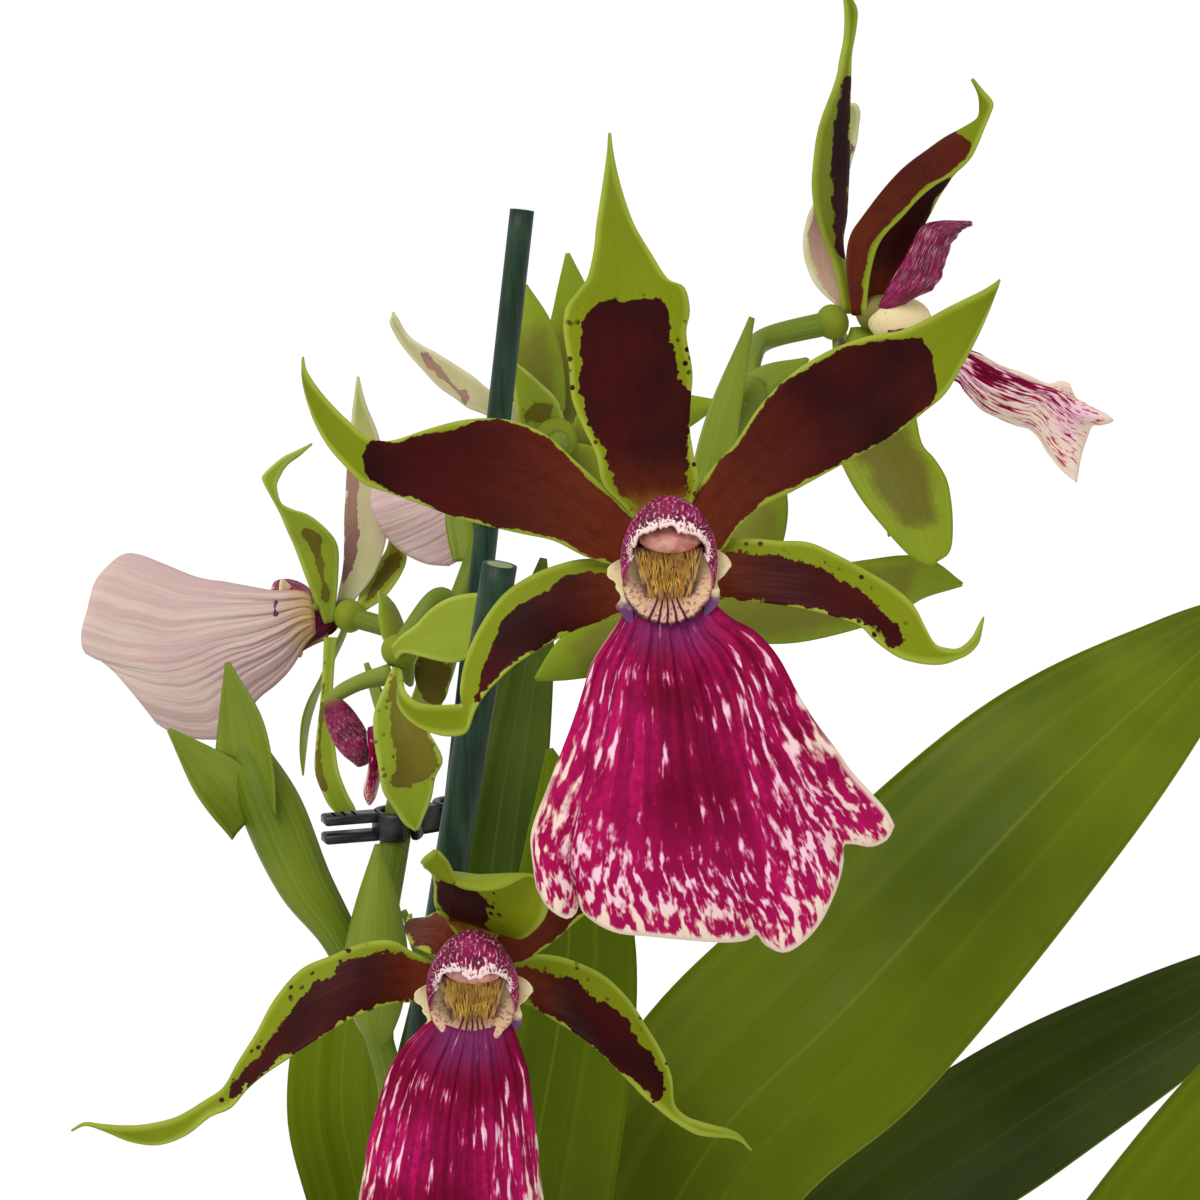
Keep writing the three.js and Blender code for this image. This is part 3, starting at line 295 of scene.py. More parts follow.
class Finish:
    def __init__(self, name, roughness=0.5, sheen=0.0, coat=0.0, soft=0.0, shine=0.5):
        self.material = bpy.data.materials.new(name)
        self.material.use_nodes = True
        self.tree = self.material.node_tree
        self.tree.nodes.clear()
        self.shader = self.node("ShaderNodeBsdfPrincipled")
        self.shader.inputs["Roughness"].default_value = roughness
        self.shader.inputs["Specular IOR Level"].default_value = shine
        self.shader.inputs["Sheen Weight"].default_value = sheen
        self.shader.inputs["Coat Weight"].default_value = coat
        self.shader.inputs["Coat Roughness"].default_value = 0.3
        if soft:
            self.shader.inputs["Subsurface Weight"].default_value = soft
            self.shader.inputs["Subsurface Scale"].default_value = 0.002
        output = self.node("ShaderNodeOutputMaterial")
        self.tree.links.new(self.shader.outputs[0], output.inputs[0])
        self.spot = self.node("ShaderNodeTexCoord").outputs["Object"]
        self.read = {}

    def node(self, kind, **settings):
        made = self.tree.nodes.new(kind)
        for key, value in settings.items():
            setattr(made, key, value)
        return made

    def put(self, socket, value):
        if isinstance(value, bpy.types.NodeSocket):
            self.tree.links.new(value, socket)
        else:
            socket.default_value = value

    def field(self, name):
        if name not in self.read:
            self.read[name] = self.node("ShaderNodeAttribute", attribute_name=name).outputs["Fac"]
        return self.read[name]

    def fields(self, *names):
        return [self.field(name) for name in names]

    def sum(self, kind, one, other=0.0, third=0.0, clamp=False):
        made = self.node("ShaderNodeMath", operation=kind, use_clamp=clamp)
        for socket, value in zip(made.inputs, (one, other, third)):
            self.put(socket, value)
        return made.outputs[0]

    def times(self, one, other):
        return self.sum("MULTIPLY", one, other)

    def plus(self, one, other):
        return self.sum("ADD", one, other)

    def less(self, one, other):
        return self.sum("SUBTRACT", one, other)

    def ease(self, value, low, high, start=0.0, end=1.0):
        made = self.node("ShaderNodeMapRange", interpolation_type="SMOOTHSTEP")
        for name, v in (("Value", value), ("From Min", low), ("From Max", high), ("To Min", start), ("To Max", end)):
            self.put(made.inputs[name], v)
        return made.outputs[0]

    def mix(self, share, one, other, kind="MIX"):
        made = self.node("ShaderNodeMix", data_type="RGBA", blend_type=kind)
        for index, value in ((0, share), (6, one), (7, other)):
            self.put(made.inputs[index], value)
        return made.outputs[2]

    def spread(self, x, y, z=0.0):
        made = self.node("ShaderNodeCombineXYZ")
        for socket, value in zip(made.inputs, (x, y, z)):
            self.put(socket, value)
        return made.outputs[0]

    def stretch(self, vector, scale):
        made = self.node("ShaderNodeVectorMath", operation="MULTIPLY")
        self.put(made.inputs[0], vector)
        made.inputs[1].default_value = scale
        return made.outputs[0]

    def first(self, vector):
        made = self.node("ShaderNodeSeparateXYZ")
        self.put(made.inputs[0], vector)
        return made.outputs[0]

    def grain(self, scale, detail=2.0, roughness=0.5, vector=None, distortion=0.0):
        made = self.node("ShaderNodeTexNoise")
        self.put(made.inputs["Vector"], vector or self.spot)
        made.inputs["Scale"].default_value = scale
        made.inputs["Detail"].default_value = detail
        made.inputs["Roughness"].default_value = roughness
        made.inputs["Distortion"].default_value = distortion
        return made.outputs[0]

    def cells(self, scale, vector=None, feature="F1"):
        made = self.node("ShaderNodeTexVoronoi", feature=feature)
        self.put(made.inputs["Vector"], vector or self.spot)
        made.inputs["Scale"].default_value = scale
        return made.outputs["Distance"]

    def close(self, colour, height=None, strength=0.3, depth=0.0004, roughness=None):
        """Joins the colour, relief and roughness to the shader and gives the material"""
        self.put(self.shader.inputs["Base Color"], colour)
        if roughness is not None:
            self.put(self.shader.inputs["Roughness"], roughness)
        if height is not None:
            bump = self.node("ShaderNodeBump")
            bump.inputs["Strength"].default_value = strength
            bump.inputs["Distance"].default_value = depth
            self.put(bump.inputs["Height"], height)
            self.tree.links.new(bump.outputs[0], self.shader.inputs["Normal"])
        return self.material


def tepal_finish(name, green, tip_green, rim_green, dark, deepest, foot_brown, golden, back_green, back_shade):
    """Sepals and petals: a maroon blotch with a crisp torn edge in a green margin"""
    f = Finish(name, roughness=0.5, soft=0.02, shine=0.08)
    t, s, back = f.fields("along", "across", "back")
    inside, foot, tone = f.fields("inside", "foot", "tone")
    torn = f.grain(1000, 3, 0.65)
    coarse = f.grain(300, 2)
    ragged = f.ease(f.field("rim"), 0.0, 1.0, 0.3, 1.0)
    small = f.times(f.less(torn, 0.5), 1.6)
    wander = f.times(f.plus(small, f.times(f.less(coarse, 0.5), 3.0)), ragged)
    edge = f.plus(inside, wander)
    blotch = f.ease(edge, -0.06, 0.1)
    dots = f.ease(f.cells(820), 0.3, 0.22)
    near = f.ease(f.plus(inside, f.times(f.less(coarse, 0.5), 12)), -2.2, -0.6)
    near = f.times(near, f.ease(f.field("rim"), 0.5, 1.0))
    blotch = f.sum("MAXIMUM", blotch, f.times(dots, near))
    veins = f.grain(1.0, 2, 0.6, f.spread(f.times(s, 11), f.times(t, 1.3), foot))
    vein_share = f.ease(veins, 0.38, 0.66)
    leafy = f.mix(f.ease(t, 0.5, 1.0), green, tip_green)
    leafy = f.mix(f.times(vein_share, 0.22), leafy, back_green)
    leafy = f.mix(f.times(f.ease(f.field("edge"), 0.9, 0.1), 0.55), leafy, rim_green)
    leafy = f.mix(f.times(f.ease(f.grain(170, 3), 0.35, 0.7), 0.3), leafy, tip_green)
    deep = f.mix(f.ease(f.grain(90, 3), 0.3, 0.7), dark, deepest)
    deep = f.mix(f.times(vein_share, 0.25), deep, deepest)
    warm = f.mix(f.times(tone, f.ease(foot, 0.55, 1.0)), foot_brown, golden)
    warm = f.mix(f.times(f.ease(f.grain(700, 3), 0.4, 0.7), 0.3), warm, dark)
    warm = f.mix(f.times(vein_share, 0.25), warm, dark)
    deep = f.mix(foot, deep, warm)
    front = f.mix(blotch, leafy, deep)
    shade = f.times(f.ease(f.plus(inside, wander), -1.0, 2.0), 0.75)
    behind = f.mix(f.times(vein_share, 0.3), back_green, tip_green)
    behind = f.mix(shade, behind, back_shade)
    colour = f.mix(back, front, behind)
    ribs = f.plus(f.times(veins, 0.7), f.times(f.grain(1900, 2), 0.25))
    rough = f.ease(veins, 0.3, 0.7, 0.44, 0.58)
    return f.close(colour, ribs, 0.3, 0.0003, rough)


def lip_finish(name, magenta, bright, deepest, violet, white, cream, back_pale, back_mauve):
    """The lip: magenta, broken by white streaks that fan out to a netted white margin.
    tone says how rare the white is, in steps of the streaks' own spread."""
    f = Finish(name, roughness=0.6, soft=0.03, shine=0.06)
    t, s, back, rim = f.fields("along", "across", "back", "rim")
    rare, heart = f.fields("tone", "inside")
    sway = f.times(f.less(f.grain(190, 2), 0.5), 0.05)
    u = f.plus(s, sway)
    long_lines = f.grain(1.0, 2, 0.5, f.spread(f.times(u, 17), f.times(t, 7.5), 3.0))
    flecks = f.grain(1.0, 2, 0.55, f.spread(f.times(u, 27), f.times(t, 15), 9.0))
    lines = f.mix(f.ease(t, 0.55, 0.85), f.spread(long_lines, 0.0), f.spread(flecks, 0.0))
    lines = f.first(lines)
    score = f.sum("DIVIDE", f.less(lines, 0.5), 0.085)
    rag = f.times(f.less(f.grain(1500, 2), 0.5), 1.3)
    score = f.plus(f.less(score, rare), rag)
    pale = f.ease(score, -0.5, 0.95)
    blush = f.ease(score, -1.2, 0.1)
    veins = f.grain(1.0, 1, 0.5, f.spread(f.times(u, 13), f.times(t, 0.8), 6.0))
    ground = f.mix(f.ease(f.grain(95, 2), 0.36, 0.66), magenta, bright)
    ground = f.mix(f.times(f.ease(f.grain(1300, 3), 0.42, 0.66), 0.35), ground, deepest)
    ground = f.mix(f.times(f.ease(veins, 0.56, 0.42), 0.45), ground, deepest)
    ground = f.mix(f.times(heart, 0.55), ground, deepest)
    ground = f.mix(f.times(f.ease(t, 0.5, 0.95), 0.5), ground, bright)
    ground = f.mix(f.times(blush, 0.55), ground, bright)
    top = f.times(f.ease(t, 0.2, 0.02), f.ease(f.sum("ABSOLUTE", s), 1.1, 0.3))
    ground = f.mix(f.times(top, 0.8), ground, violet)
    pale_colour = f.mix(f.ease(rim, 5.0, 1.0), white, cream)
    pale_colour = f.mix(f.times(f.ease(t, 0.25, 0.05), 0.6), pale_colour, violet)
    colour = f.mix(pale, ground, pale_colour)
    colour = f.mix(f.times(f.ease(rim, 0.7, 0.2), f.ease(t, 0.5, 0.8)), colour, cream)
    band = f.ease(veins, 0.4, 0.62)
    behind = f.mix(f.times(band, 0.5), back_pale, back_mauve)
    behind = f.mix(f.times(f.ease(f.grain(60, 2), 0.4, 0.65), 0.4), behind, back_mauve)
    behind = f.mix(f.ease(t, 0.22, 0.0), behind, tint(190, 154, 104))
    colour = f.mix(back, colour, behind)
    ridge = f.times(f.sum("COSINE", f.times(u, 60)), f.ease(t, 0.8, 0.1))
    height = f.plus(f.times(ridge, 0.35), f.plus(f.times(veins, 1.2), f.times(flecks, 0.5)))
    return f.close(colour, height, 0.5, 0.0005)


def callus_finish():
    """The cream collar above the lip: fine purple lines that run outward, darker on its ridges"""
    f = Finish("speckled_cream_callus", roughness=0.55, soft=0.06, shine=0.15)
    t, s = f.fields("along", "across")
    cream, ochre, purple = tint(214, 176, 140), tint(176, 132, 52), tint(88, 20, 66)
    base = f.mix(f.ease(t, 0.5, 0.1), cream, ochre)
    base = f.mix(f.ease(f.sum("ABSOLUTE", s), 0.6, 0.95), base, tint(226, 204, 158))
    lines = f.grain(1.0, 3, 0.6, f.spread(f.times(s, 34), f.times(t, 5), 2.0))
    specks = f.ease(f.plus(f.times(lines, 0.6), f.times(f.grain(2400, 2, 0.6), 0.4)), 0.5, 0.6)
    share = f.times(specks, f.ease(f.sum("ABSOLUTE", s), 1.0, 0.5))
    base = f.mix(f.times(share, 0.7), base, purple)
    middle = f.ease(f.sum("ABSOLUTE", s), 0.27, 0.2)
    wander = f.times(f.less(f.grain(500, 2), 0.5), 2.4)
    stripe = f.ease(f.sum("COSINE", f.plus(f.times(s, 66), wander)), 0.15, 0.75)
    stripes = f.times(f.times(middle, stripe), f.ease(t, 0.12, 0.3))
    base = f.mix(stripes, base, purple)
    wide = f.less(t, f.times(f.less(lines, 0.5), 0.5))
    lower = f.times(f.ease(wide, 0.8, 0.96), f.ease(f.sum("ABSOLUTE", s), 0.75, 0.5))
    base = f.mix(f.times(lower, 0.92), base, tint(72, 14, 60))
    return f.close(base, f.plus(lines, f.grain(1600, 3)), 0.5, 0.0003)


def hood_finish():
    """The column's hood: magenta-maroon, dashed with pale flecks, and a torn pale front edge"""
    f = Finish("flecked_magenta_hood", roughness=0.5, soft=0.04, shine=0.14)
    t, s, back, rim = f.fields("along", "across", "back", "rim")
    deep, magenta, white = tint(92, 8, 42), tint(134, 14, 72), tint(236, 208, 204)
    dashes = f.grain(1.0, 2, 0.6, f.spread(f.times(s, 30), f.times(t, 16), 3.0))
    ground = f.mix(f.ease(f.grain(420, 2), 0.35, 0.68), deep, magenta)
    flecks = f.times(f.ease(dashes, 0.52, 0.68), f.ease(t, 0.1, 0.6))
    ground = f.mix(f.times(flecks, 0.75), ground, tint(218, 160, 178))
    torn = f.plus(rim, f.times(f.less(dashes, 0.5), -4.5))
    torn = f.plus(torn, f.times(f.less(f.grain(1900, 2), 0.5), 1.2))
    colour = f.mix(f.ease(torn, 0.95, 0.45), ground, white)
    colour = f.mix(f.ease(t, 0.25, 0.0), colour, tint(122, 138, 50))
    colour = f.mix(f.times(back, 0.7), colour, tint(196, 130, 130))
    return f.close(colour, f.plus(dashes, f.grain(1500, 2)), 0.35, 0.0002)


def anther_finish():
    f = Finish("pinkish_anther_cap", roughness=0.45, soft=0.1)
    blush = f.ease(f.grain(700, 2), 0.35, 0.65)
    colour = f.mix(blush, tint(176, 98, 84), tint(206, 150, 134))
    return f.close(colour, f.grain(1800, 2), 0.2, 0.0002)


def throat_finish():
    """Golden-brown underside of the column with dark streaks"""
    f = Finish("golden_throat", roughness=0.6)
    s, t = f.fields("across", "along")
    streak = f.grain(1.0, 2, 0.6, f.spread(f.times(s, 13), f.times(t, 3.2), 5.0))
    colour = f.mix(f.ease(streak, 0.58, 0.42), tint(196, 158, 76), tint(96, 50, 44))
    # Painted shade: the top of the throat, under the anther and the hood, is darkened towards violet-brown
    colour = f.mix(f.ease(t, 0.2, 0.0), colour, tint(96, 30, 52))
    return f.close(colour, streak, 0.4, 0.0004)


def bristle_finish():
    f = Finish("golden_bristles", roughness=0.5)
    colour = f.mix(f.ease(f.grain(900, 1), 0.4, 0.6), tint(226, 184, 66), tint(176, 126, 40))
    return f.close(colour, f.grain(2500, 1), 0.1, 0.0001)


def wing_finish():
    """Cream ears at the column's sides, violet towards the lip"""
    f = Finish("cream_column_wings", roughness=0.5, soft=0.12)
    t = f.field("along")
    specks = f.ease(f.grain(1500, 2), 0.6, 0.68)
    colour = f.mix(f.times(specks, 0.25), tint(222, 204, 152), tint(150, 90, 90))
    torn = f.plus(t, f.times(f.less(f.grain(900, 2), 0.5), 0.3))
    colour = f.mix(f.ease(torn, 0.62, 0.78), colour, tint(92, 34, 92))
    return f.close(colour, f.grain(1300, 2), 0.2, 0.0002)


def leaf_finish(name, light, deep, rib, back):
    """Strap leaf: fine parallel veins, a pale midrib and a paler back"""
    f = Finish(name, roughness=0.5, soft=0.02, shine=0.08)
    t, s, behind = f.fields("along", "across", "back")
    tone = f.field("tone")
    fibres = f.grain(1.0, 2, 0.6, f.spread(f.times(s, 42), f.times(t, 1.5), tone))
    veins = f.grain(1.0, 1, 0.5, f.spread(f.times(s, 12), f.times(t, 0.7), 2.0))
    cloud = f.ease(f.grain(26, 3), 0.32, 0.7)
    colour = f.mix(cloud, deep, light)
    colour = f.mix(f.times(f.ease(fibres, 0.4, 0.66), 0.14), colour, deep)
    colour = f.mix(f.times(f.ease(veins, 0.52, 0.7), 0.14), colour, rib)
    colour = f.mix(f.times(f.ease(f.sum("ABSOLUTE", s), 0.03, 0.0), 0.35), colour, rib)
    colour = f.mix(f.times(f.ease(f.sum("ABSOLUTE", s), 0.98, 1.0), 0.4), colour, rib)
    colour = f.mix(f.times(behind, 0.75), colour, back)
    height = f.plus(f.times(fibres, 0.5), veins)
    rough = f.ease(f.grain(60, 2), 0.3, 0.7, 0.42, 0.56)
    return f.close(colour, height, 0.22, 0.0004, rough)


def stem_finish():
    """Stems, bracts and buds: fresh green with faint lengthwise lines"""
    f = Finish("fresh_green_stem", roughness=0.45, soft=0.03, shine=0.2)
    t, s, tone = f.fields("along", "across", "tone")
    fibres = f.grain(1.0, 2, 0.6, f.spread(f.times(s, 9), f.times(t, 1.2), tone))
    colour = f.mix(f.ease(f.grain(60, 2), 0.35, 0.65), tint(80, 100, 10), tint(104, 120, 18))
    colour = f.mix(f.times(f.ease(fibres, 0.45, 0.65), 0.35), colour, tint(130, 146, 44))
    colour = f.mix(f.times(tone, 0.5), colour, tint(124, 138, 40))
    return f.close(colour, fibres, 0.3, 0.0003)


def bulb_finish():
    f = Finish("waxy_pseudobulb", roughness=0.4, coat=0.1)
    t, s = f.fields("along", "across")
    ribs = f.grain(1.0, 2, 0.5, f.spread(f.times(s, 7), f.times(t, 1.3), 1.0))
    colour = f.mix(f.ease(f.grain(70, 3), 0.3, 0.7), tint(92, 116, 38), tint(138, 152, 72))
    colour = f.mix(f.times(f.ease(ribs, 0.5, 0.65), 0.35), colour, tint(168, 172, 100))
    colour = f.mix(f.ease(t, 0.2, 0.0), colour, tint(128, 112, 66))
    return f.close(colour, ribs, 0.5, 0.0008)


def sheath_finish():
    """Dry papery sheaths round the foot of a pseudobulb"""
    f = Finish("papery_sheath", roughness=0.8)
    t, s = f.fields("along", "across")
    fibres = f.grain(1.0, 3, 0.65, f.spread(f.times(s, 15), f.times(t, 1.8), 4.0))
    colour = f.mix(f.ease(fibres, 0.35, 0.65), tint(122, 92, 58), tint(196, 172, 126))
    colour = f.mix(f.ease(t, 0.8, 1.0), colour, tint(104, 70, 42))
    return f.close(colour, fibres, 0.6, 0.0006)


def bark_finish():
    f = Finish("orchid_bark", roughness=0.92)
    layers = f.grain(1.0, 4, 0.65, f.stretch(f.spot, (190, 190, 620)))
    blotches = f.ease(f.grain(85, 3), 0.35, 0.68)
    colour = f.mix(blotches, tint(74, 44, 28), tint(134, 88, 54))
    colour = f.mix(f.times(f.ease(layers, 0.52, 0.68), 0.6), colour, tint(172, 124, 82))
    colour = f.mix(f.times(f.ease(layers, 0.44, 0.3), 0.7), colour, tint(38, 22, 15))
    return f.close(colour, f.plus(layers, f.grain(900, 3)), 0.8, 0.0012)


def pot_finish():
    """Moulded dark grey plastic with a faint turned grain"""
    f = Finish("moulded_grey_pot", roughness=0.5)
    turned = f.grain(1.0, 2, 0.6, f.stretch(f.spot, (30, 30, 1400)))
    colour = f.mix(f.ease(f.grain(35, 3), 0.3, 0.7), tint(46, 49, 52), tint(58, 61, 64))
    colour = f.mix(f.times(f.ease(turned, 0.55, 0.7), 0.15), colour, tint(92, 94, 94))
    rough = f.ease(f.grain(55, 3), 0.3, 0.7, 0.42, 0.62)
    return f.close(colour, f.plus(f.times(turned, 0.3), f.grain(2200, 2)), 0.22, 0.0003, rough)


def stake_finish():
    """Green-stained cane: lengthwise fibres and a paler cut end"""
    f = Finish("green_stained_stake", roughness=0.5, shine=0.3)
    tone = f.field("tone")
    fibres = f.grain(1.0, 3, 0.6, f.stretch(f.spot, (1100, 1100, 60)))
    colour = f.mix(f.ease(fibres, 0.35, 0.68), tint(10, 34, 18), tint(26, 58, 36))
    colour = f.mix(f.times(f.ease(f.grain(120, 2), 0.55, 0.7), 0.3), colour, tint(56, 88, 62))
    colour = f.mix(tone, colour, tint(142, 150, 104))
    return f.close(colour, fibres, 0.4, 0.0004)


def clip_finish():
    f = Finish("moulded_black_clip", roughness=0.35)
    colour = f.mix(f.ease(f.grain(300, 2), 0.35, 0.65), tint(14, 15, 17), tint(30, 31, 34))
    rough = f.ease(f.grain(500, 3), 0.3, 0.7, 0.28, 0.46)
    return f.close(colour, f.grain(2600, 2), 0.15, 0.0002, rough)


def floor_finish():
    f = Finish("pale_floor", roughness=0.9)
    colour = f.mix(f.ease(f.grain(0.9, 2), 0.3, 0.7), (0.95, 0.95, 0.95, 1), (0.96, 0.96, 0.96, 1))
    return f.close(colour)


TEPAL = tepal_finish(
    "blotched_tepal",
    green=tint(116, 126, 8),
    tip_green=tint(102, 114, 6),
    rim_green=tint(172, 184, 72),
    dark=tint(64, 9, 6),
    deepest=tint(34, 2, 2),
    foot_brown=tint(104, 42, 20),
    golden=tint(146, 104, 30),
    back_green=tint(126, 140, 34),
    back_shade=tint(86, 72, 28),
)
REAR_TEPAL = tepal_finish(
    "striped_rear_tepal",
    green=tint(134, 148, 40),
    tip_green=tint(118, 136, 26),
    rim_green=tint(182, 192, 96),
    dark=tint(112, 104, 30),
    deepest=tint(92, 80, 24),
    foot_brown=tint(140, 136, 56),
    golden=tint(140, 146, 44),
    back_green=tint(126, 142, 34),
    back_shade=tint(110, 104, 40),
)
BLUSHED = tepal_finish(
    "blushed_tepal_back",
    green=tint(186, 178, 138),
    tip_green=tint(140, 152, 60),
    rim_green=tint(222, 214, 182),
    dark=tint(156, 124, 104),
    deepest=tint(124, 86, 84),
    foot_brown=tint(186, 152, 128),
    golden=tint(180, 160, 90),
    back_green=tint(186, 170, 120),
    back_shade=tint(150, 112, 96),
)
LIP = lip_finish(
    "streaked_magenta_lip",
    magenta=tint(122, 2, 46),
    bright=tint(176, 14, 88),
    deepest=tint(84, 0, 26),
    violet=tint(112, 44, 96),
    white=tint(232, 190, 204),
    cream=tint(226, 202, 184),
    back_pale=tint(206, 184, 172),
    back_mauve=tint(186, 146, 150),
)
CALLUS = callus_finish()
HOOD = hood_finish()
ANTHER = anther_finish()
THROAT = throat_finish()
BRISTLE = bristle_finish()
WING = wing_finish()
LEAF = leaf_finish("broad_leaf", tint(96, 111, 2), tint(72, 87, 0), tint(122, 136, 24), tint(110, 124, 30))
DEEP_LEAF = leaf_finish("deep_green_leaf", tint(74, 90, 26), tint(52, 68, 14), tint(96, 112, 44), tint(84, 100, 34))
STEM = stem_finish()
BULB = bulb_finish()
SHEATH = sheath_finish()
BARK = bark_finish()
POT = pot_finish()
STAKE = stake_finish()
CLIP = clip_finish()


# The blooms. Each is drawn as it is seen from in front and a little above, from its own centre:
# x to the right, y away, z up. at is that centre in the plant, aim is where the column points,
# crown is its top, fine how finely it is meshed and hub the share of the hub's full size. A lip
# is drawn by its neck, sides and front, or by rows of x, y, z, half width and cup.

EVEN = [0.34, 0.76, 0.96, 1, 0.87, 0.56, 0.06]
TEPAL_THICK = 0.8
LIP_THICK = 0.8
ROOT_DEPTH = 1.9
HUB_AT = (0, 3.7, 1)
HUB_HALF = (3.3, 3, 3.3)
NECK_AT = (0, -3.8, -2.8)
NECK_HALF = 4.4


def tepal(face, half, fold, turns, points):
    """A tepal by its middle line; half is its widest half width"""
    return {"face": Vector(face), "half": half, "fold": fold, "turns": turns, "points": points}


def drawn(stations, depth, lean=(0, 0), end=0.8, fold=0.1, foot=0.3, golden=0.0, ragged=1.0, round_end=1.5, **more):
    """A tepal by its two edges as seen: x, z of one edge, x, z of the other, and the blotch's
    margin at each. depth is its middle's y along it, lean how far it is turned about its line,
    end the share of it where the blotch stops and foot the share where the base's colour fades."""
    rows = [list(row) + [9, 9] * (len(row) == 4) for row in stations]
    kept = {"stations": rows, "depth": depth, "lean": lean, "end": end, "fold": fold, "round_end": round_end}
    kept.update(foot=foot, golden=golden, ragged=ragged)
    kept.update(more)
    return kept


def keeled(near, keel, far, depths, end, margins, foot):
    """A folded tepal by its near edge, its keel and its far edge as seen, with the y of each"""
    rows = [list(a) + list(b) + list(c) for a, b, c in zip(near, keel, far)]
    return {"keeled": rows, "depths": depths, "end": end, "margins": margins, "foot": foot}


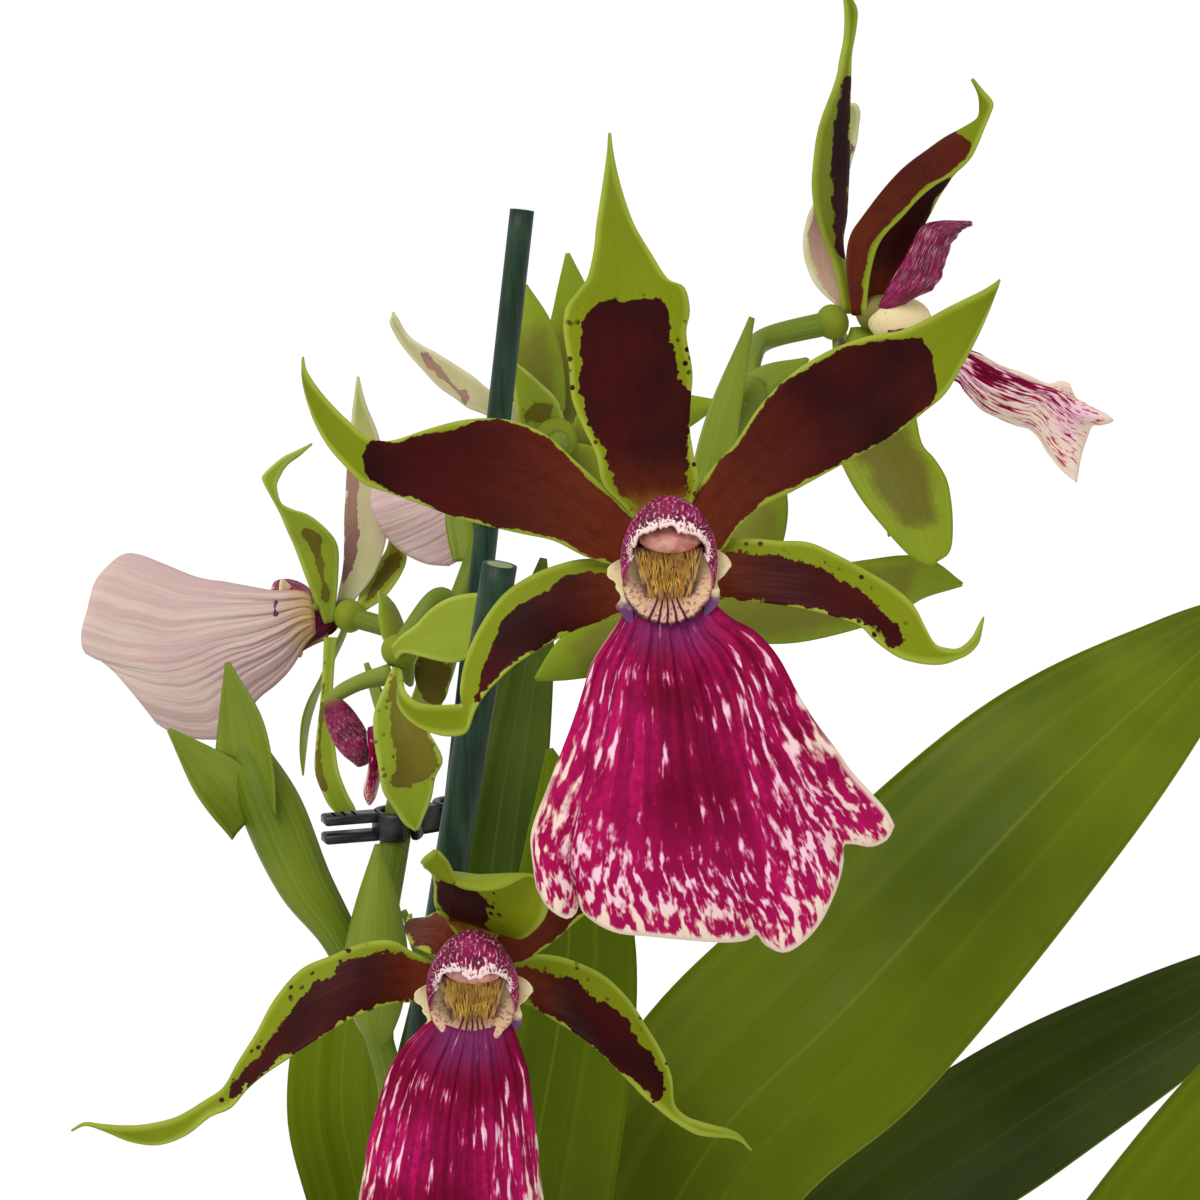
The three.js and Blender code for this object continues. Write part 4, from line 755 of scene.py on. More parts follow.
BLOOMS = {
    "a": {
        "at": (69.6, -95, 420),
        "aim": (0, -1, 0),
        "crown": (0, 0, 1),
        "fine": 2,
        "skin": "TEPAL",
        "tepals": [
            drawn(
                [(-0.9, 2, 0.9, 2, 0.6, 0.6), (-4.2, 7.4, 2.6, 8, 1.2, 1.0), (-7.2, 10.6, 3.5, 11, 1.4, 1.3),
                    (-8, 14, 3, 13.8, 0.9, 0.8), (-9.6, 17.4, 2.5, 17, 0.9, 0.15),
                    (-10.8, 20.5, 2.6, 20, 1.2, 0.1), (-11.1, 24, 2.8, 23.4, 1.2, 1.5),
                    (-11.7, 28, 2.1, 27.6, 1.9, 1.6), (-11.4, 30.6, 2.5, 30.2, 2.6, 2.2),
                    (-10, 32.5, 1.9, 32.8, 3.6, 3.4), (-9, 34, 0, 33.8), (-8.3, 37, -1.8, 36.6),
                    (-8, 40, -3.8, 40), (-7.4, 44, -5.2, 44), (-6.9, 47.5, -6, 47.5), (-6.6, 50.5, -6.4, 50.5)],
                [3.6, 2.2, 2.3, 1.5, 1, 1.6, 4], end=0.57, fold=0.08, foot=0.24, golden=1.0,
            ),
            drawn(
                [(-0.5, 0.4, -0.6, 3.4, 0.3, 0.3), (-6, 1.6, -5, 8.4, 0.2, 0.5),
                    (-9.4, 2.7, -7.6, 10.9, 0.3, 0.4), (-12.8, 4.4, -10.6, 13.6, 0.3, 0.3),
                    (-16, 5.1, -13.8, 16.4, 0.2, 0.2), (-20, 6, -18, 18, 0.2, 0.2),
                    (-24, 7.1, -22.6, 18, 0.15, 0.8), (-28, 8.6, -27, 16.9, 0.15, 0.6),
                    (-31.4, 9.8, -31, 15.6, 0.3, 0.2), (-34, 10.7, -33.6, 16, 0.6, 0.3),
                    (-36, 12.6, -35.8, 17.8, 2, 1.4), (-38.2, 15.2, -38, 20), (-40, 18.6, -39.6, 22),
                    (-41, 22, -40.7, 23.8), (-41.2, 24.4, -41.05, 25.2)],
                [3.6, 2.6, 2, 1, 0, 0.4, 3], end=0.655, fold=0.12, foot=0.5, ragged=0.35,
            ),
            drawn(
                [(0.5, 3.4, 0.6, 0.4, 0.3, 0.3), (3, 9.6, 6, 3.2, 0.4, 0.2), (5, 12.6, 7.6, 5.4, 0.3, 0.2),
                    (7.6, 15.4, 10.4, 8.1, 0.3, 0.2), (10.4, 19.6, 14, 9.9, 0.3, 0.2),
                    (14, 23.2, 18, 12.1, 0.5, 0.2), (18, 25.7, 22, 14.3, 0.6, 0.15),
                    (22.4, 27.3, 26, 16.7, 0.6, 0.15), (26, 27.9, 28.8, 18.9, 1.0, 0.3),
                    (28.6, 29, 31, 20.8, 2.2, 0.8), (31.2, 30.4, 32.8, 23.7), (33.6, 31.6, 34.4, 26.6),
                    (35.6, 32.6, 35.9, 29.8), (36.8, 33.4, 37, 32.4), (37.4, 33.9, 37.5, 33.7)],
                [3.6, 2.6, 2, 1, 0, 0.5, 3], end=0.64, fold=0.12, foot=0.42, ragged=0.35,
            ),
            drawn(
                [(-0.6, -1.2, -0.6, 1.6, 0.3, 0.6), (-5.4, -4, -6, 2, 0.2, 1.2),
                    (-8.6, -5.1, -9.2, 2.3, 0.1, 1.6), (-11.6, -6.4, -12.2, 1.6, 0.1, 1.8),
                    (-14.4, -8, -15.4, 0.2, 0.1, 2.3), (-17, -9.7, -18.4, -2, 0.1, 2.4),
                    (-18.8, -11.3, -21, -5.6, 0.1, 2.8), (-20.2, -12.8, -22.6, -9.2, 0.1, 3),
                    (-21.4, -14.6, -23.2, -12.2, 0.1, 2.8), (-22.3, -17, -23, -13.8),
                    (-24.2, -17.5, -24.4, -14), (-26.6, -17, -26.4, -13.95), (-28.6, -15.9, -28, -13.6),
                    (-30, -14.2, -29.2, -12.6), (-30.2, -12.6, -29.75, -11.6), (-29.95, -11.4, -29.85, -11.2)],
                [3.8, 3, 1.4, 0, -1, -2, -1.5, 0], lean=(0, 20, 36, 30, 20, -20, -30), end=0.55, foot=0.22,
                    ragged=0.55,
            ),
            drawn(
                [(0.6, 1.6, 0.6, -1.2, 0.6, 0.3), (6.2, 4.4, 6, -2.3, 1.4, 0.2), (9.4, 4.6, 9, -2.5, 1.7, 0.1),
                    (12.6, 4.3, 12.4, -2.9, 1.5, 0.1), (16, 4.1, 15.6, -3.5, 2.2, 0.1),
                    (19.4, 2.5, 18.8, -4.35, 2.4, 0.1), (22.6, 0.7, 21.4, -5.2, 3, 0.2),
                    (25.2, -0.9, 23.2, -7, 3.2, 0.9), (27.4, -2.9, 25.6, -8.7, 3.8, 1.4),
                    (28.8, -5.4, 28, -9.4), (29.9, -7.2, 30, -9.5), (31.2, -7.65, 31.6, -9.2),
                    (32.6, -7.6, 33.4, -8.4), (33.9, -6.5, 34.6, -7.2), (34.8, -5, 35, -5.8),
                    (35.35, -4.2, 35.4, -4.1)],
                [3.8, 3, 1.6, 0.4, -0.6, -1.2, -1, 0], lean=(0, -18, -30, -28, -20, 10, 20), end=0.56, foot=0.22,
            ),
        ],
        "lip": {
            "neck": [(-4.6, -3.2), (-2.4, -3.8), (0, -4), (2.4, -3.6), (4.8, -2.6)],
            "left": [(-4.6, -3.2), (-6.4, -6), (-8, -8.4), (-8.8, -10), (-10, -14), (-11, -17), (-12.4, -20.4),
                (-13.4, -23), (-14.6, -26), (-15.2, -28.4), (-15, -31), (-14.6, -34)],
            "front": [(-14.6, -34), (-13.4, -36), (-11.4, -37.4), (-10.3, -36.8), (-9.9, -35.5), (-9.2, -37),
                (-6, -38.8), (-2, -39.3), (2, -39.7), (6, -40), (8.6, -39.8), (9.8, -39.1), (10.6, -40.2),
                (12.6, -41), (14.6, -40), (16.6, -37.8), (18.2, -34.6), (19.2, -31.4), (19.3, -29.4),
                (20.6, -29.3), (22.4, -29.6), (24.2, -28.8), (25, -27.2)],
            "right": [(4.8, -2.6), (7, -4.6), (9, -5.6), (10.6, -7), (12, -8.8), (13, -10.6), (14.6, -13.6),
                (16.6, -16.4), (18.6, -19), (20, -21), (22, -23.2), (24, -25.4), (25, -27.2)],
            "depth": [-5, -6.4, -7.4, -7.6, -7, -6],
            "bulge": 2.4,
            "ruffle": [(0, 0.6), (0.07, -0.8), (0.14, 1.2), (0.22, -0.7), (0.4, -0.2), (0.54, 0.9),
                (0.61, -0.9), (0.76, -0.6), (0.87, 1.3), (0.93, 1.8), (1, 1.2)],
        },
    },
    "b": {
        "at": (47.4, -85.4, 370.2),
        "aim": (0, -1, 0),
        "crown": (0, 0, 1),
        "fine": 2,
        "skin": "TEPAL",
        "tilt": 13,
        "beak": 1.7,
        "tepals": [
            drawn(
                [(-0.9, 3, 0.9, 3, 0.2, 0.2), (-3.4, 7.4, 2.8, 7.2, 0.6, 0.4), (-4.6, 9, 4, 6.1, 1.6, 1.4),
                    (-5, 10.6, 5.8, 6.4, 0.5, 4.4), (-5.1, 11.8, 8.2, 9.6, 0.5, 6.6),
                    (-5.3, 13, 7.5, 13.4, 0.6, 8.6), (-5.7, 14.2, 3.2, 11.9), (-6, 15, 0, 11.8),
                    (-5.6, 15.6, -1.6, 13.2), (-5, 16.2, -2.6, 15.4), (-4.3, 16.8, -3.6, 16.6)],
                [3.4, 2, -1, -4.6, -7, -9, -10, -11, -12, -12.6], lean=(0, -10, -35, -30, 10, 20), end=0.52,
                    fold=-0.12, foot=0.26, golden=1.0,
            ),
            drawn(
                [(-0.6, 0.8, -0.6, 3.6, 0.3, 0.3), (-4, 3, -3.4, 7.8, 0.2, 0.2), (-7.4, 4.2, -6.4, 7, 0.2, 0.2),
                    (-8.6, 4.9, -8.4, 6.4, 0.2, 0.2), (-8.8, 5, -8.8, 6.2, 0.2, 0.2), (-8.9, 5.1, -8.9, 6)],
                [3.6, 4, 8, 14, 21, 28], lean=(0, 55, 70, 74, 74, 74), end=0.8, foot=0.9,
            ),
            drawn(
                [(0.6, 3.6, 0.6, 0.8, 0.3, 0.3), (4.4, 7.6, 5.6, 2.6, 0.2, 0.2), (7.6, 10, 8.8, 4.6, 0.2, 0.2),
                    (10.6, 13, 12.4, 7.6, 0.2, 0.2), (15, 16.2, 16.6, 10.4, 0.3, 0.2),
                    (20, 19.2, 21, 13.6, 0.4, 0.3), (25, 22, 25.6, 17), (30, 24.4, 29.4, 21.6),
                    (33, 25.2, 32.8, 24.8)],
                [3.6, 3.6, 5, 7, 10, 14, 17], end=0.7, foot=0.5, ragged=0.35,
            ),
            drawn(
                [(-0.6, -1.2, -0.6, 1.6, 0.3, 0.4), (-6.4, -2.1, -6.8, 3.4, 0.3, 0.9),
                    (-9.4, -2.2, -9.8, 4.9, 0.1, 1.2), (-12.6, -3.1, -13.2, 4.6, 0.1, 1.4),
                    (-15.6, -4.5, -16.8, 3.1, 0.1, 2.0), (-18.6, -6.4, -20.4, 1.4, 0.1, 2.6),
                    (-21.4, -8.2, -23.4, -2, 0.1, 3), (-24, -9.9, -25.4, -5.6, 0.1, 2),
                    (-26.2, -11.7, -27.6, -8.9, 0.2, 1.2), (-28.2, -13.9, -29.2, -11.6, 0.6, 1),
                    (-30.6, -14.9, -31.4, -13.1), (-33.4, -17, -34.4, -14.8), (-36.6, -18.15, -37.6, -15.6),
                    (-39.8, -17.8, -40.4, -15.85), (-42.8, -16.6, -43.4, -15.8), (-45.2, -16.05, -45.4, -15.7),
                    (-47, -16.8, -46.9, -16.6)],
                [3.8, 2.4, 1, 0, -1.6, -2.6, -3, -2.4, -1], lean=(0, 20, 34, 40, 30, 0, -10, 0), end=0.55, foot=0.2,
            ),
            drawn(
                [(0.6, 1.6, 0.6, -1.2, 0.4, 0.3), (6, 3.2, 5.6, -2.3, 1.4, 0.3), (9, 3.2, 8.6, -3.9, 1.8, 0.2),
                    (12.2, 2.2, 11.2, -5.4, 2.2, 0.1), (15.2, 0.6, 13.8, -7.2, 2.6, 0.1),
                    (17.8, -2, 16, -9.2, 2.4, 0.1), (19.8, -5, 18, -11, 2.0, 0.1),
                    (21.6, -7.8, 19.6, -12.6, 1.6, 0.3), (22.8, -10.6, 21, -13.8, 1.8, 1),
                    (23.2, -13.4, 22.4, -15), (24.6, -14.9, 24, -16), (26.4, -15.5, 26, -17),
                    (28.2, -15.95, 28, -17.25), (29.8, -16.4, 29.8, -17.4), (31, -17.2, 31, -17.9),
                    (32.2, -18.8, 32.2, -18.95)],
                [3.8, 2.6, 1.4, 0, -1.6, -2.6, -2.6, -2], lean=(0, -20, -34, -36, -20, 0, 0), end=0.57, foot=0.22,
            ),
        ],
        "lip": {
            "neck": [(-4.8, -3.2), (-2.4, -4.2), (-0.2, -4.6), (2, -4.2), (4, -3.4)],
            "left": [(-4.8, -3.2), (-7.2, -5.4), (-8.4, -6.8), (-9.6, -9), (-10.4, -11.6), (-11.2, -14.6),
                (-11.8, -17), (-12.4, -20), (-13, -23), (-13.6, -27), (-14, -31), (-13.6, -35)],
            "front": [(-13.6, -35), (-12, -38.6), (-9.6, -39.6), (-8.6, -38.8), (-6.4, -41), (-3, -42.2),
                (0.6, -42), (3, -41), (4, -41.6), (6.2, -40.2), (8.2, -37.4), (9.4, -34)],
            "right": [(4, -3.4), (5, -6), (6, -9), (6.4, -12), (6.8, -15), (7.2, -18), (7.6, -21), (8.2, -25),
                (9, -29), (9.4, -34)],
            "depth": [-5, -5.4, -5.6, -5.4, -4.6, -4],
            "bulge": 4.6,
            "ruffle": [(0, 0.8), (0.1, -0.7), (0.24, 1.2), (0.38, -0.6), (0.62, 0.8), (0.75, -0.7), (1, 0.8)],
        },
    },
    "c": {
        "at": (96.2, -20, 441.7),
        "aim": (0.93, -0.1, 0.34),
        "hub": 0.72,
        "crown": (-0.34, 0, 0.94),
        "fine": 2,
        "skin": "TEPAL",
        "tepals": [
            drawn(
                [(-2.6, 0.8, -0.8, 0.8, 9, 9), (-3.2, 5, -1.4, 5, 9, 9), (-4.2, 8, -2.2, 8, 1.6, 0.1),
                    (-5.6, 11, -2.5, 10.6, 1.9, 0.05), (-6.6, 14, -2.1, 13.6, 2.4, 0.05),
                    (-7, 17, -2, 16.6, 2.6, 0.05), (-6.9, 20, -1.9, 20, 2.5, 0.05),
                    (-6.5, 23, -1.85, 23, 2.3, 0.05), (-5.6, 26, -1.8, 26, 1.9, 0.05),
                    (-4.4, 29, -1.75, 29, 1.3, 0.1), (-3.5, 31.5, -1.65, 31.5, 1, 0.2), (-3, 33.6, -1.5, 34),
                    (-2.5, 36, -1.2, 36), (-2.4, 39, -0.7, 38.6), (-2.6, 41.6, -0.7, 41), (-2.9, 44, -2.6, 44)],
                [0.6, 0, -1.6, -2.4, -2.2, -1, 0.6], lean=(20, 48, 52, 50, 44, 30), end=0.76, foot=0.1,
                    ragged=0.6, fold=0.2,
            ),
            keeled(
                [(0.4, 0.4), (0.6, 4.4), (1.4, 8.4), (2.6, 10.6), (4.6, 12.6), (6.6, 14.8), (8.8, 16.6),
                    (11, 17.8), (13, 19.6), (14, 21.4), (14.8, 23.4), (15.6, 25.4), (15.9, 26.8), (14.6, 28.4),
                    (13.4, 29.9)],
                [(-1.4, 0.6), (-2.4, 4.6), (-2.9, 8), (-2.6, 10.6), (-1.4, 12.6), (0.4, 15), (2.6, 17.6),
                    (4.6, 19.5), (7, 21.1), (9.4, 22.5), (11.8, 23.4), (14.1, 24.6), (14.4, 26.4), (14.2, 28),
                    (13.2, 29.8)],
                [(1, -0.6), (3.8, 3.4), (5.4, 6.8), (6.8, 10), (8.4, 13), (9.6, 15.4), (10.6, 17), (11.2, 17.9),
                    (12.4, 19.4), (13.2, 21.4), (14.2, 23.6), (15, 25.4), (15.4, 26.8), (14.4, 28.4),
                    (13.3, 29.9)],
                ([-2.6, -7, -10, -11.6, -12], [-1.4, -4.6, -8, -10.4, -11.4], [-0.6, -3, -6.2, -9.4, -11.2]),
                0.68, (0.75, 0.05), 0.2,
            ),
            drawn(
                [(-2.4, 1.2, -1, 1.6, 0.2, 0.2), (-5.8, 4.6, -2, 5, 0.6, 0.2), (-7.2, 8, -2.4, 8, 0.6, 0.2),
                    (-7.4, 11, -2.6, 11, 0.6, 0.2), (-6.8, 14, -2, 14.4, 0.6, 0.2),
                    (-5.4, 17, -1.6, 18, 0.6, 0.2), (-4.4, 20, -1, 21, 0.5, 0.3),
                    (-3.4, 22.6, -0.2, 24, 1, 0.6), (-2.6, 25, 0.1, 26), (-2, 27, 0.3, 28),
                    (-2.2, 28.6, -0.4, 29.2), (-2.6, 28.2, -2.2, 28.6)],
                [1.4, 4, 6, 7, 7.4, 7], end=0.66, foot=0.4, skin=1, sides=ALIKE, ragged=0.4,
            ),
            drawn(
                [(1.4, -1, -1.4, -1), (4.4, -6, -3.4, -7, 1, 1), (6.6, -11, -4.6, -12, 1, 1.4),
                    (7.6, -16.2, -4.2, -16, 1, 1.6), (9.2, -18.4, -2.9, -19, 1, 2),
                    (10.6, -21, -1.6, -21.8, 1.2, 2.2), (11.1, -24, 0, -24.4, 1.5, 2.2),
                    (11.2, -27, 2, -27, 2, 2.4), (11, -29.6, 4, -29.4), (10.4, -30.8, 5.8, -31.2),
                    (9.2, -31.6, 7.4, -32.1), (8.6, -32.2, 8.2, -32.3)],
                [0.6, -2, -5, -7.6, -9, -9.4], end=0.66, foot=0.05, fold=-0.12, sides=(1.0, 0.0),
            ),
            tepal(
                (0.9, -0.3, 0.1), 5, 0.1, [0, 0, 0],
                [[-2.8, 4, -4], [0, 9, -10], [2.4, 13.5, -16.5], [4.4, 17, -22.5], [5, 18.5, -28]],
            ),
        ],
        "lip": {
            "paler": 1.3,
            "neck": [(3.4, -0.4), (3.2, -2), (2.8, -4), (2.2, -5.6)],
            "left": [(3.4, -0.4), (8, -2.6), (13.8, -4.6), (16, -5.4), (18, -6.4), (20, -7), (22, -7.8),
                (24, -8.6), (25.6, -8.2), (26.8, -8.6)],
            "front": [(26.8, -8.6), (28, -10.6), (31, -12.6), (32.4, -13.4), (31, -13.9), (29.8, -14),
                (29.2, -15.6), (28.4, -18), (28, -20), (27.8, -21.4)],
            "right": [(2.2, -5.6), (7, -6.6), (12, -8), (13.4, -9.6), (15.4, -11.8), (17.4, -13), (19.8, -14),
                (21.4, -14.4), (22.8, -15.6), (24, -17.6), (26, -20), (27.8, -21.4)],
            "depth": [-3, -4, -4, -3, -2],
            "bulge": 2.5,
            "ruffle": [(0, -0.8), (0.2, 0.8), (0.45, -0.7), (0.7, 0.9), (1, -0.5)],
            "turned": False,
        },
        "petal_hood": {
            "stations": [(2, 1.4, 4.2, 1.2), (2.8, 3, 7, 3), (3.8, 4.8, 8.8, 3.8), (5, 6.8, 9.8, 5.6),
                (6.2, 9, 10.4, 7.8), (7.4, 11.3, 11.2, 9.8), (9.6, 11.9, 12.2, 11), (11.6, 11.9, 13, 11.6),
                (13.6, 11.85, 13.7, 11.8)],
            "depth": [-3, -5, -6, -6.6, -7, -7],
        },
    },
    "d": {
        "at": (19.5, 61.8, 386.8),
        "aim": (-0.9, 0.3, -0.05),
        "hub": 0.8,
        "crown": (0, 0.85, 0.5),
        "fine": 1,
        "skin": "REAR_TEPAL",
        "tepals": [
            drawn(
                [(-0.2, -0.4, 1.4, 0, 9, 9), (-1.4, 2.8, 1.8, 3, 1.4, 1.4), (-2.6, 6, 2.2, 7, 2, 2),
                    (-4.6, 11.6, 2.2, 11.4, 2.6, 2.4), (-5.6, 14, 0.6, 14, 2.2, 2.2), (-6.4, 16, -2.4, 16.4),
                    (-7.6, 18.4, -6, 17.6), (-9.2, 21.4, -7, 20.4), (-9, 22.6, -6.6, 22), (-6.4, 25, -5.4, 24),
                    (-4, 26.2, -3.6, 25.4), (-1.8, 27.3, -1.7, 27.1)],
                [0, -2, -4, -5, -5.4, -4.6, -4], end=0.5, foot=0.1, ragged=0.5, sides=ALIKE,
            ),
            drawn(
                [(1.6, 2.6, 4, 2.6, 0.2, 3), (2.6, 8, 7.4, 7, 0.1, 3.6), (2.8, 12, 9.2, 12, 0.1, 4.4),
                    (2.8, 16, 9.6, 16.4, 0.1, 4.8), (3, 20, 9.4, 20, 0.1, 4.6), (3.2, 24, 9, 24, 0.1, 4),
                    (3.6, 28, 8, 29), (4, 33, 6, 34), (4.6, 38, 5, 38)],
                [1, 2, 3, 4], end=0.8, foot=0.1, skin=1, sides=ALIKE, ragged=0.6,
            ),
            drawn(
                [(4.6, 2, 6.2, 1.6, 1, 1), (5.6, 5.4, 9, 3.6, 1, 1), (7, 8, 11.4, 7, 1.4, 1.2),
                    (9, 11, 12.3, 10, 1.4, 1), (9.6, 14, 11.6, 14), (9.8, 17, 10.4, 17)],
                [1, 4, 7, 9], end=0.7, foot=0.1, sides=ALIKE, ragged=0.5,
            ),
            drawn(
                [(1.8, -2.6, -0.2, -2.6, 2, 0.1), (1.4, -8, -0.4, -8, 1.2, 0.1),
                    (1.2, -14, -0.8, -14, 1.4, 0.1), (1.6, -19, -1.3, -19, 2, 0.1),
                    (2.2, -23, -1.5, -23, 2.6, 0.1), (3.4, -26.4, -0.4, -26.4, 3, 0.2), (4.6, -28.8, 1, -29),
                    (5, -30.4, 3.4, -31)],
                [0, -1.4, -1.8, -1.4, 0], end=0.84, foot=0.05, sides=ALIKE, ragged=0.4,
            ),
            tepal((-0.8, -0.2, 0.5), 4.8, 0.1, [0, 0, 0], [[2.4, 4.6, -2.6], [0, 10, -7], [-2.6, 16, -12],
                [-4.6, 21, -18], [-5.4, 25, -25]]),
        ],
        "lip": {
            "neck": [(-2.2, 3.4), (-1.6, 1), (-1.6, -1.8)],
            "left": [(-2.2, 3.4), (-3.4, 4.6), (-8, 4.7), (-12, 5.2), (-16, 5.9), (-20, 6.8), (-24, 8.4),
                (-28, 10), (-30, 10.4)],
            "front": [(-30, 10.4), (-31.6, 10), (-34, 7.8), (-35.4, 5.6), (-36.4, 1.6), (-37.2, -1),
                (-37.4, -3.4), (-36.8, -5), (-35, -5.8), (-32.4, -7.8), (-30, -10.4), (-28, -13), (-26, -15.8)],
            "right": [(-1.6, -1.8), (-3.6, -4), (-4.6, -6), (-6, -8), (-8, -10), (-10.4, -12), (-15, -17.6),
                (-18, -18.3), (-21, -18), (-24, -17), (-26, -15.8)],
            "depth": [-0.6, -1, -1.4, -1.6, -1.6],
            "bulge": 3.4,
            "ruffle": [(0, 0.6), (0.3, -0.6), (0.55, 0.7), (0.8, -0.6), (1, 0.5)],
            "turned": False,
        },
    },
    "e": {
        "at": (32.1, 19, 386.4),
        "aim": (-0.5, -0.2, -0.84),
        "hub": 0.8,
        "crown": (-0.84, 0, 0.5),
        "fine": 1,
        "skin": "REAR_TEPAL",
        "tepals": [
            drawn(
                [(0.2, 4.6, 0.8, 2.4), (1.6, 6, 1.9, 3.4), (3.7, 7.5, 4.3, 3), (5.6, 9.5, 6.6, 2.4),
                    (7.8, 10.9, 9, 2), (10, 11.6, 11, 2.6), (12.6, 11.9, 13, 4), (14.6, 11.4, 14.6, 6),
                    (16.4, 10.4, 16.2, 8), (17.6, 9, 17.6, 8.6)],
                [-2, -4.4, -4.6, -4, -2.6], lean=(0, -20, -20, 0), end=0.4, foot=0.05, sides=ALIKE,
            ),
            drawn(
                [(1.6, 1, 0.2, 1.4, 1, 0.6), (2.2, -2, -1, -1.6, 1, 1), (3.6, -4.6, -2.2, -5, 0.6, 2),
                    (5.5, -7.5, -2.2, -8.4, 0.6, 2.6), (7.6, -11.4, -1.6, -12, 1, 2.6),
                    (6.6, -14, -0.9, -16, 1.4, 2), (6, -17, 0.6, -18.4), (5, -19.6, 2, -20.6),
                    (4.2, -21.6, 3.6, -21.8)],
                [-2, -5, -6, -6, -6], end=0.66, foot=0.05, fold=0.2, sides=ALIKE,
            ),
            drawn(
                [(6.6, 3.4, 4, 3.4, 0.1, 0.1), (8.4, 1.4, 3.2, 1.6, 0.1, 0.1), (8.2, -0.8, 3.2, -0.6, 0.1, 0.1),
                    (7.8, -2.6, 4, -2.6, 0.1, 0.1), (7, -4, 5, -4, 0.1, 0.1), (6.2, -5, 5.8, -5)],
                [3, 4, 4, 4], end=0.95, foot=0.05, golden=0, sides=ALIKE,
            ),
            tepal((-0.8, 0.2, -0.4), 4.6, 0.2, [0, 0, 0], [[1.6, 4, 2.4], [1, 10, 6], [-0.6, 16, 10], [-3, 21, 12]]),
        ],
        "lip": {
            "neck": [(-3.2, -7.2), (-2.2, -7), (-1.2, -7.4)],
            "left": [(-3.2, -7.2), (-3.1, -9), (-3, -11), (-3.3, -13.4), (-4, -16)],
            "front": [(-4, -16), (-3.8, -17.4), (-3.2, -18.4), (-2.4, -17.4)],
            "right": [(-1.2, -7.4), (-0.9, -10), (-1.3, -13), (-1.8, -15.4), (-2.4, -17.4)],
            "depth": [-1.4, -1.6, -1, 0],
            "bulge": 0.6,
            "ruffle": [(0, 0.1), (0.5, -0.1), (1, 0.1)],
        },
        "drop_hood": [[-8.7, 0, -2.6, 0.8, 0.8], [-8.2, -0.4, -4.2, 1.7, 1.6], [-7.2, -0.6, -6.2, 2.3, 2.1],
            [-5.9, -0.6, -8.6, 2.5, 2.2], [-4.7, -0.4, -10.8, 2.0, 1.8], [-4.1, 0, -12.6, 0.9, 0.9]],
    },
    "f": {
        "at": (54, 61.4, 413.3),
        "aim": (-0.35, 0.9, -0.2),
        "crown": (0, 0.2, 1),
        "fine": 1,
        "skin": "REAR_TEPAL",
        "tepals": [
            drawn(
                [(-3, 2, -2.4, 4, 9, 9), (-6, 3.2, -5, 7.4), (-9.4, 5.4, -9, 9.4),
                    (-12, 6.4, -11.4, 11.4, 1.4, 3.4), (-14, 7.9, -13.5, 12.8, 0.7, 2.9),
                    (-16.6, 9.7, -17, 15, 1.9, 1.6), (-19.1, 12.3, -19.4, 16.3, 1.6, 0.9),
                    (-22.2, 15.9, -21.4, 17.8), (-24.2, 19.4, -22.7, 19.9), (-24, 20.6, -23.2, 20.6),
                    (-23.8, 21.3, -23.6, 21.3)],
                [-1, -2.4, -1, -0.4, 0], end=0.68, foot=0.05, skin=1, sides=ALIKE, ragged=0.5,
            ),
            drawn(
                [(-2, 1, 3, 1), (-4.4, 4, 2.4, 5.4, 2, 2), (-4.8, 6, 1.2, 8, 2, 2), (-5.2, 8.6, -0.6, 9.8),
                    (-5.6, 11, -2.4, 11.4), (-6, 13, -4.4, 13), (-6.3, 14.7, -6.1, 14.7)],
                [-2, -4, -5, -5.4], end=0.45, foot=0.05, sides=ALIKE,
            ),
            tepal((0, 1, 0), 4.8, 0.2, [0, 0, 0], [[-1.6, -1, 5], [-2.2, -2, 11], [-2.4, -2.6, 18],
                [-3.4, -1.4, 25.4]]),
            tepal((0, 1, 0), 4.8, 0.2, [0, 0, 0], [[2, 2, 5.6], [3.4, 3.6, 13], [4, 4.4, 21], [3, 3.4, 30.7]]),
            tepal((-0.2, 0.95, 0.2), 4.6, 0.2, [0, 0, 0], [[5.4, 0, 1.6], [12, 0.6, 3.6], [19, 1, 5.6],
                [26.7, 1, 7.6]]),
            tepal((0, 0.8, 0.6), 4.6, 0.2, [0, 0, 0], [[5.4, -1.6, -3], [8.4, -0.6, -8.6], [10.6, 2, -15],
                [11, 5, -22]]),
        ],
        "lip": {
            "neck": [(-3.4, 0.6), (-3, -1), (-2.4, -3.4)],
            "left": [(-3.4, 0.6), (-8, 0), (-14, -1.4), (-20, -2.6), (-25, -3.6)],
            "front": [(-25, -3.6), (-27.4, -6), (-27, -9.6), (-25.4, -12.6), (-22.6, -15.4), (-19, -17.2),
                (-15.4, -17.6)],
            "right": [(-2.4, -3.4), (-5, -7), (-8, -11), (-11, -15), (-15.4, -17.6)],
            "depth": [1, 3.4, 4.6, 5, 5],
            "bulge": 3,
            "ruffle": [(0, 0.6), (0.3, -0.7), (0.6, 0.7), (1, -0.5)],
            "turned": False,
        },
    },
    "g": {
        "at": (74, -17.2, 399.8),
        "aim": (0.2, 0.95, -0.2),
        "crown": (0, 0.2, 1),
        "fine": 1,
        "skin": "REAR_TEPAL",
        "tepals": [
            tepal((0, 0.9, 0.4), 5, 0.2, [0, 0, 0], [[5, -1.8, 2], [14, -1.4, 2.6], [24, 0, 4.8],
                [30.7, 0.6, 6.8], [36.4, 0.6, 6.2]]),
            tepal((0, 0.9, 0.4), 5, 0.2, [0, 0, 0], [[-5, 0, 0], [-10, 1, -1.4], [-15, 2, -3.6], [-20.6, 3, -6.6]]),
            tepal((0, 1, 0), 5, 0.2, [0, 0, 0], [[-2, 1, 5], [-4, 3, 11], [-5, 6, 18], [-4, 9, 25]]),
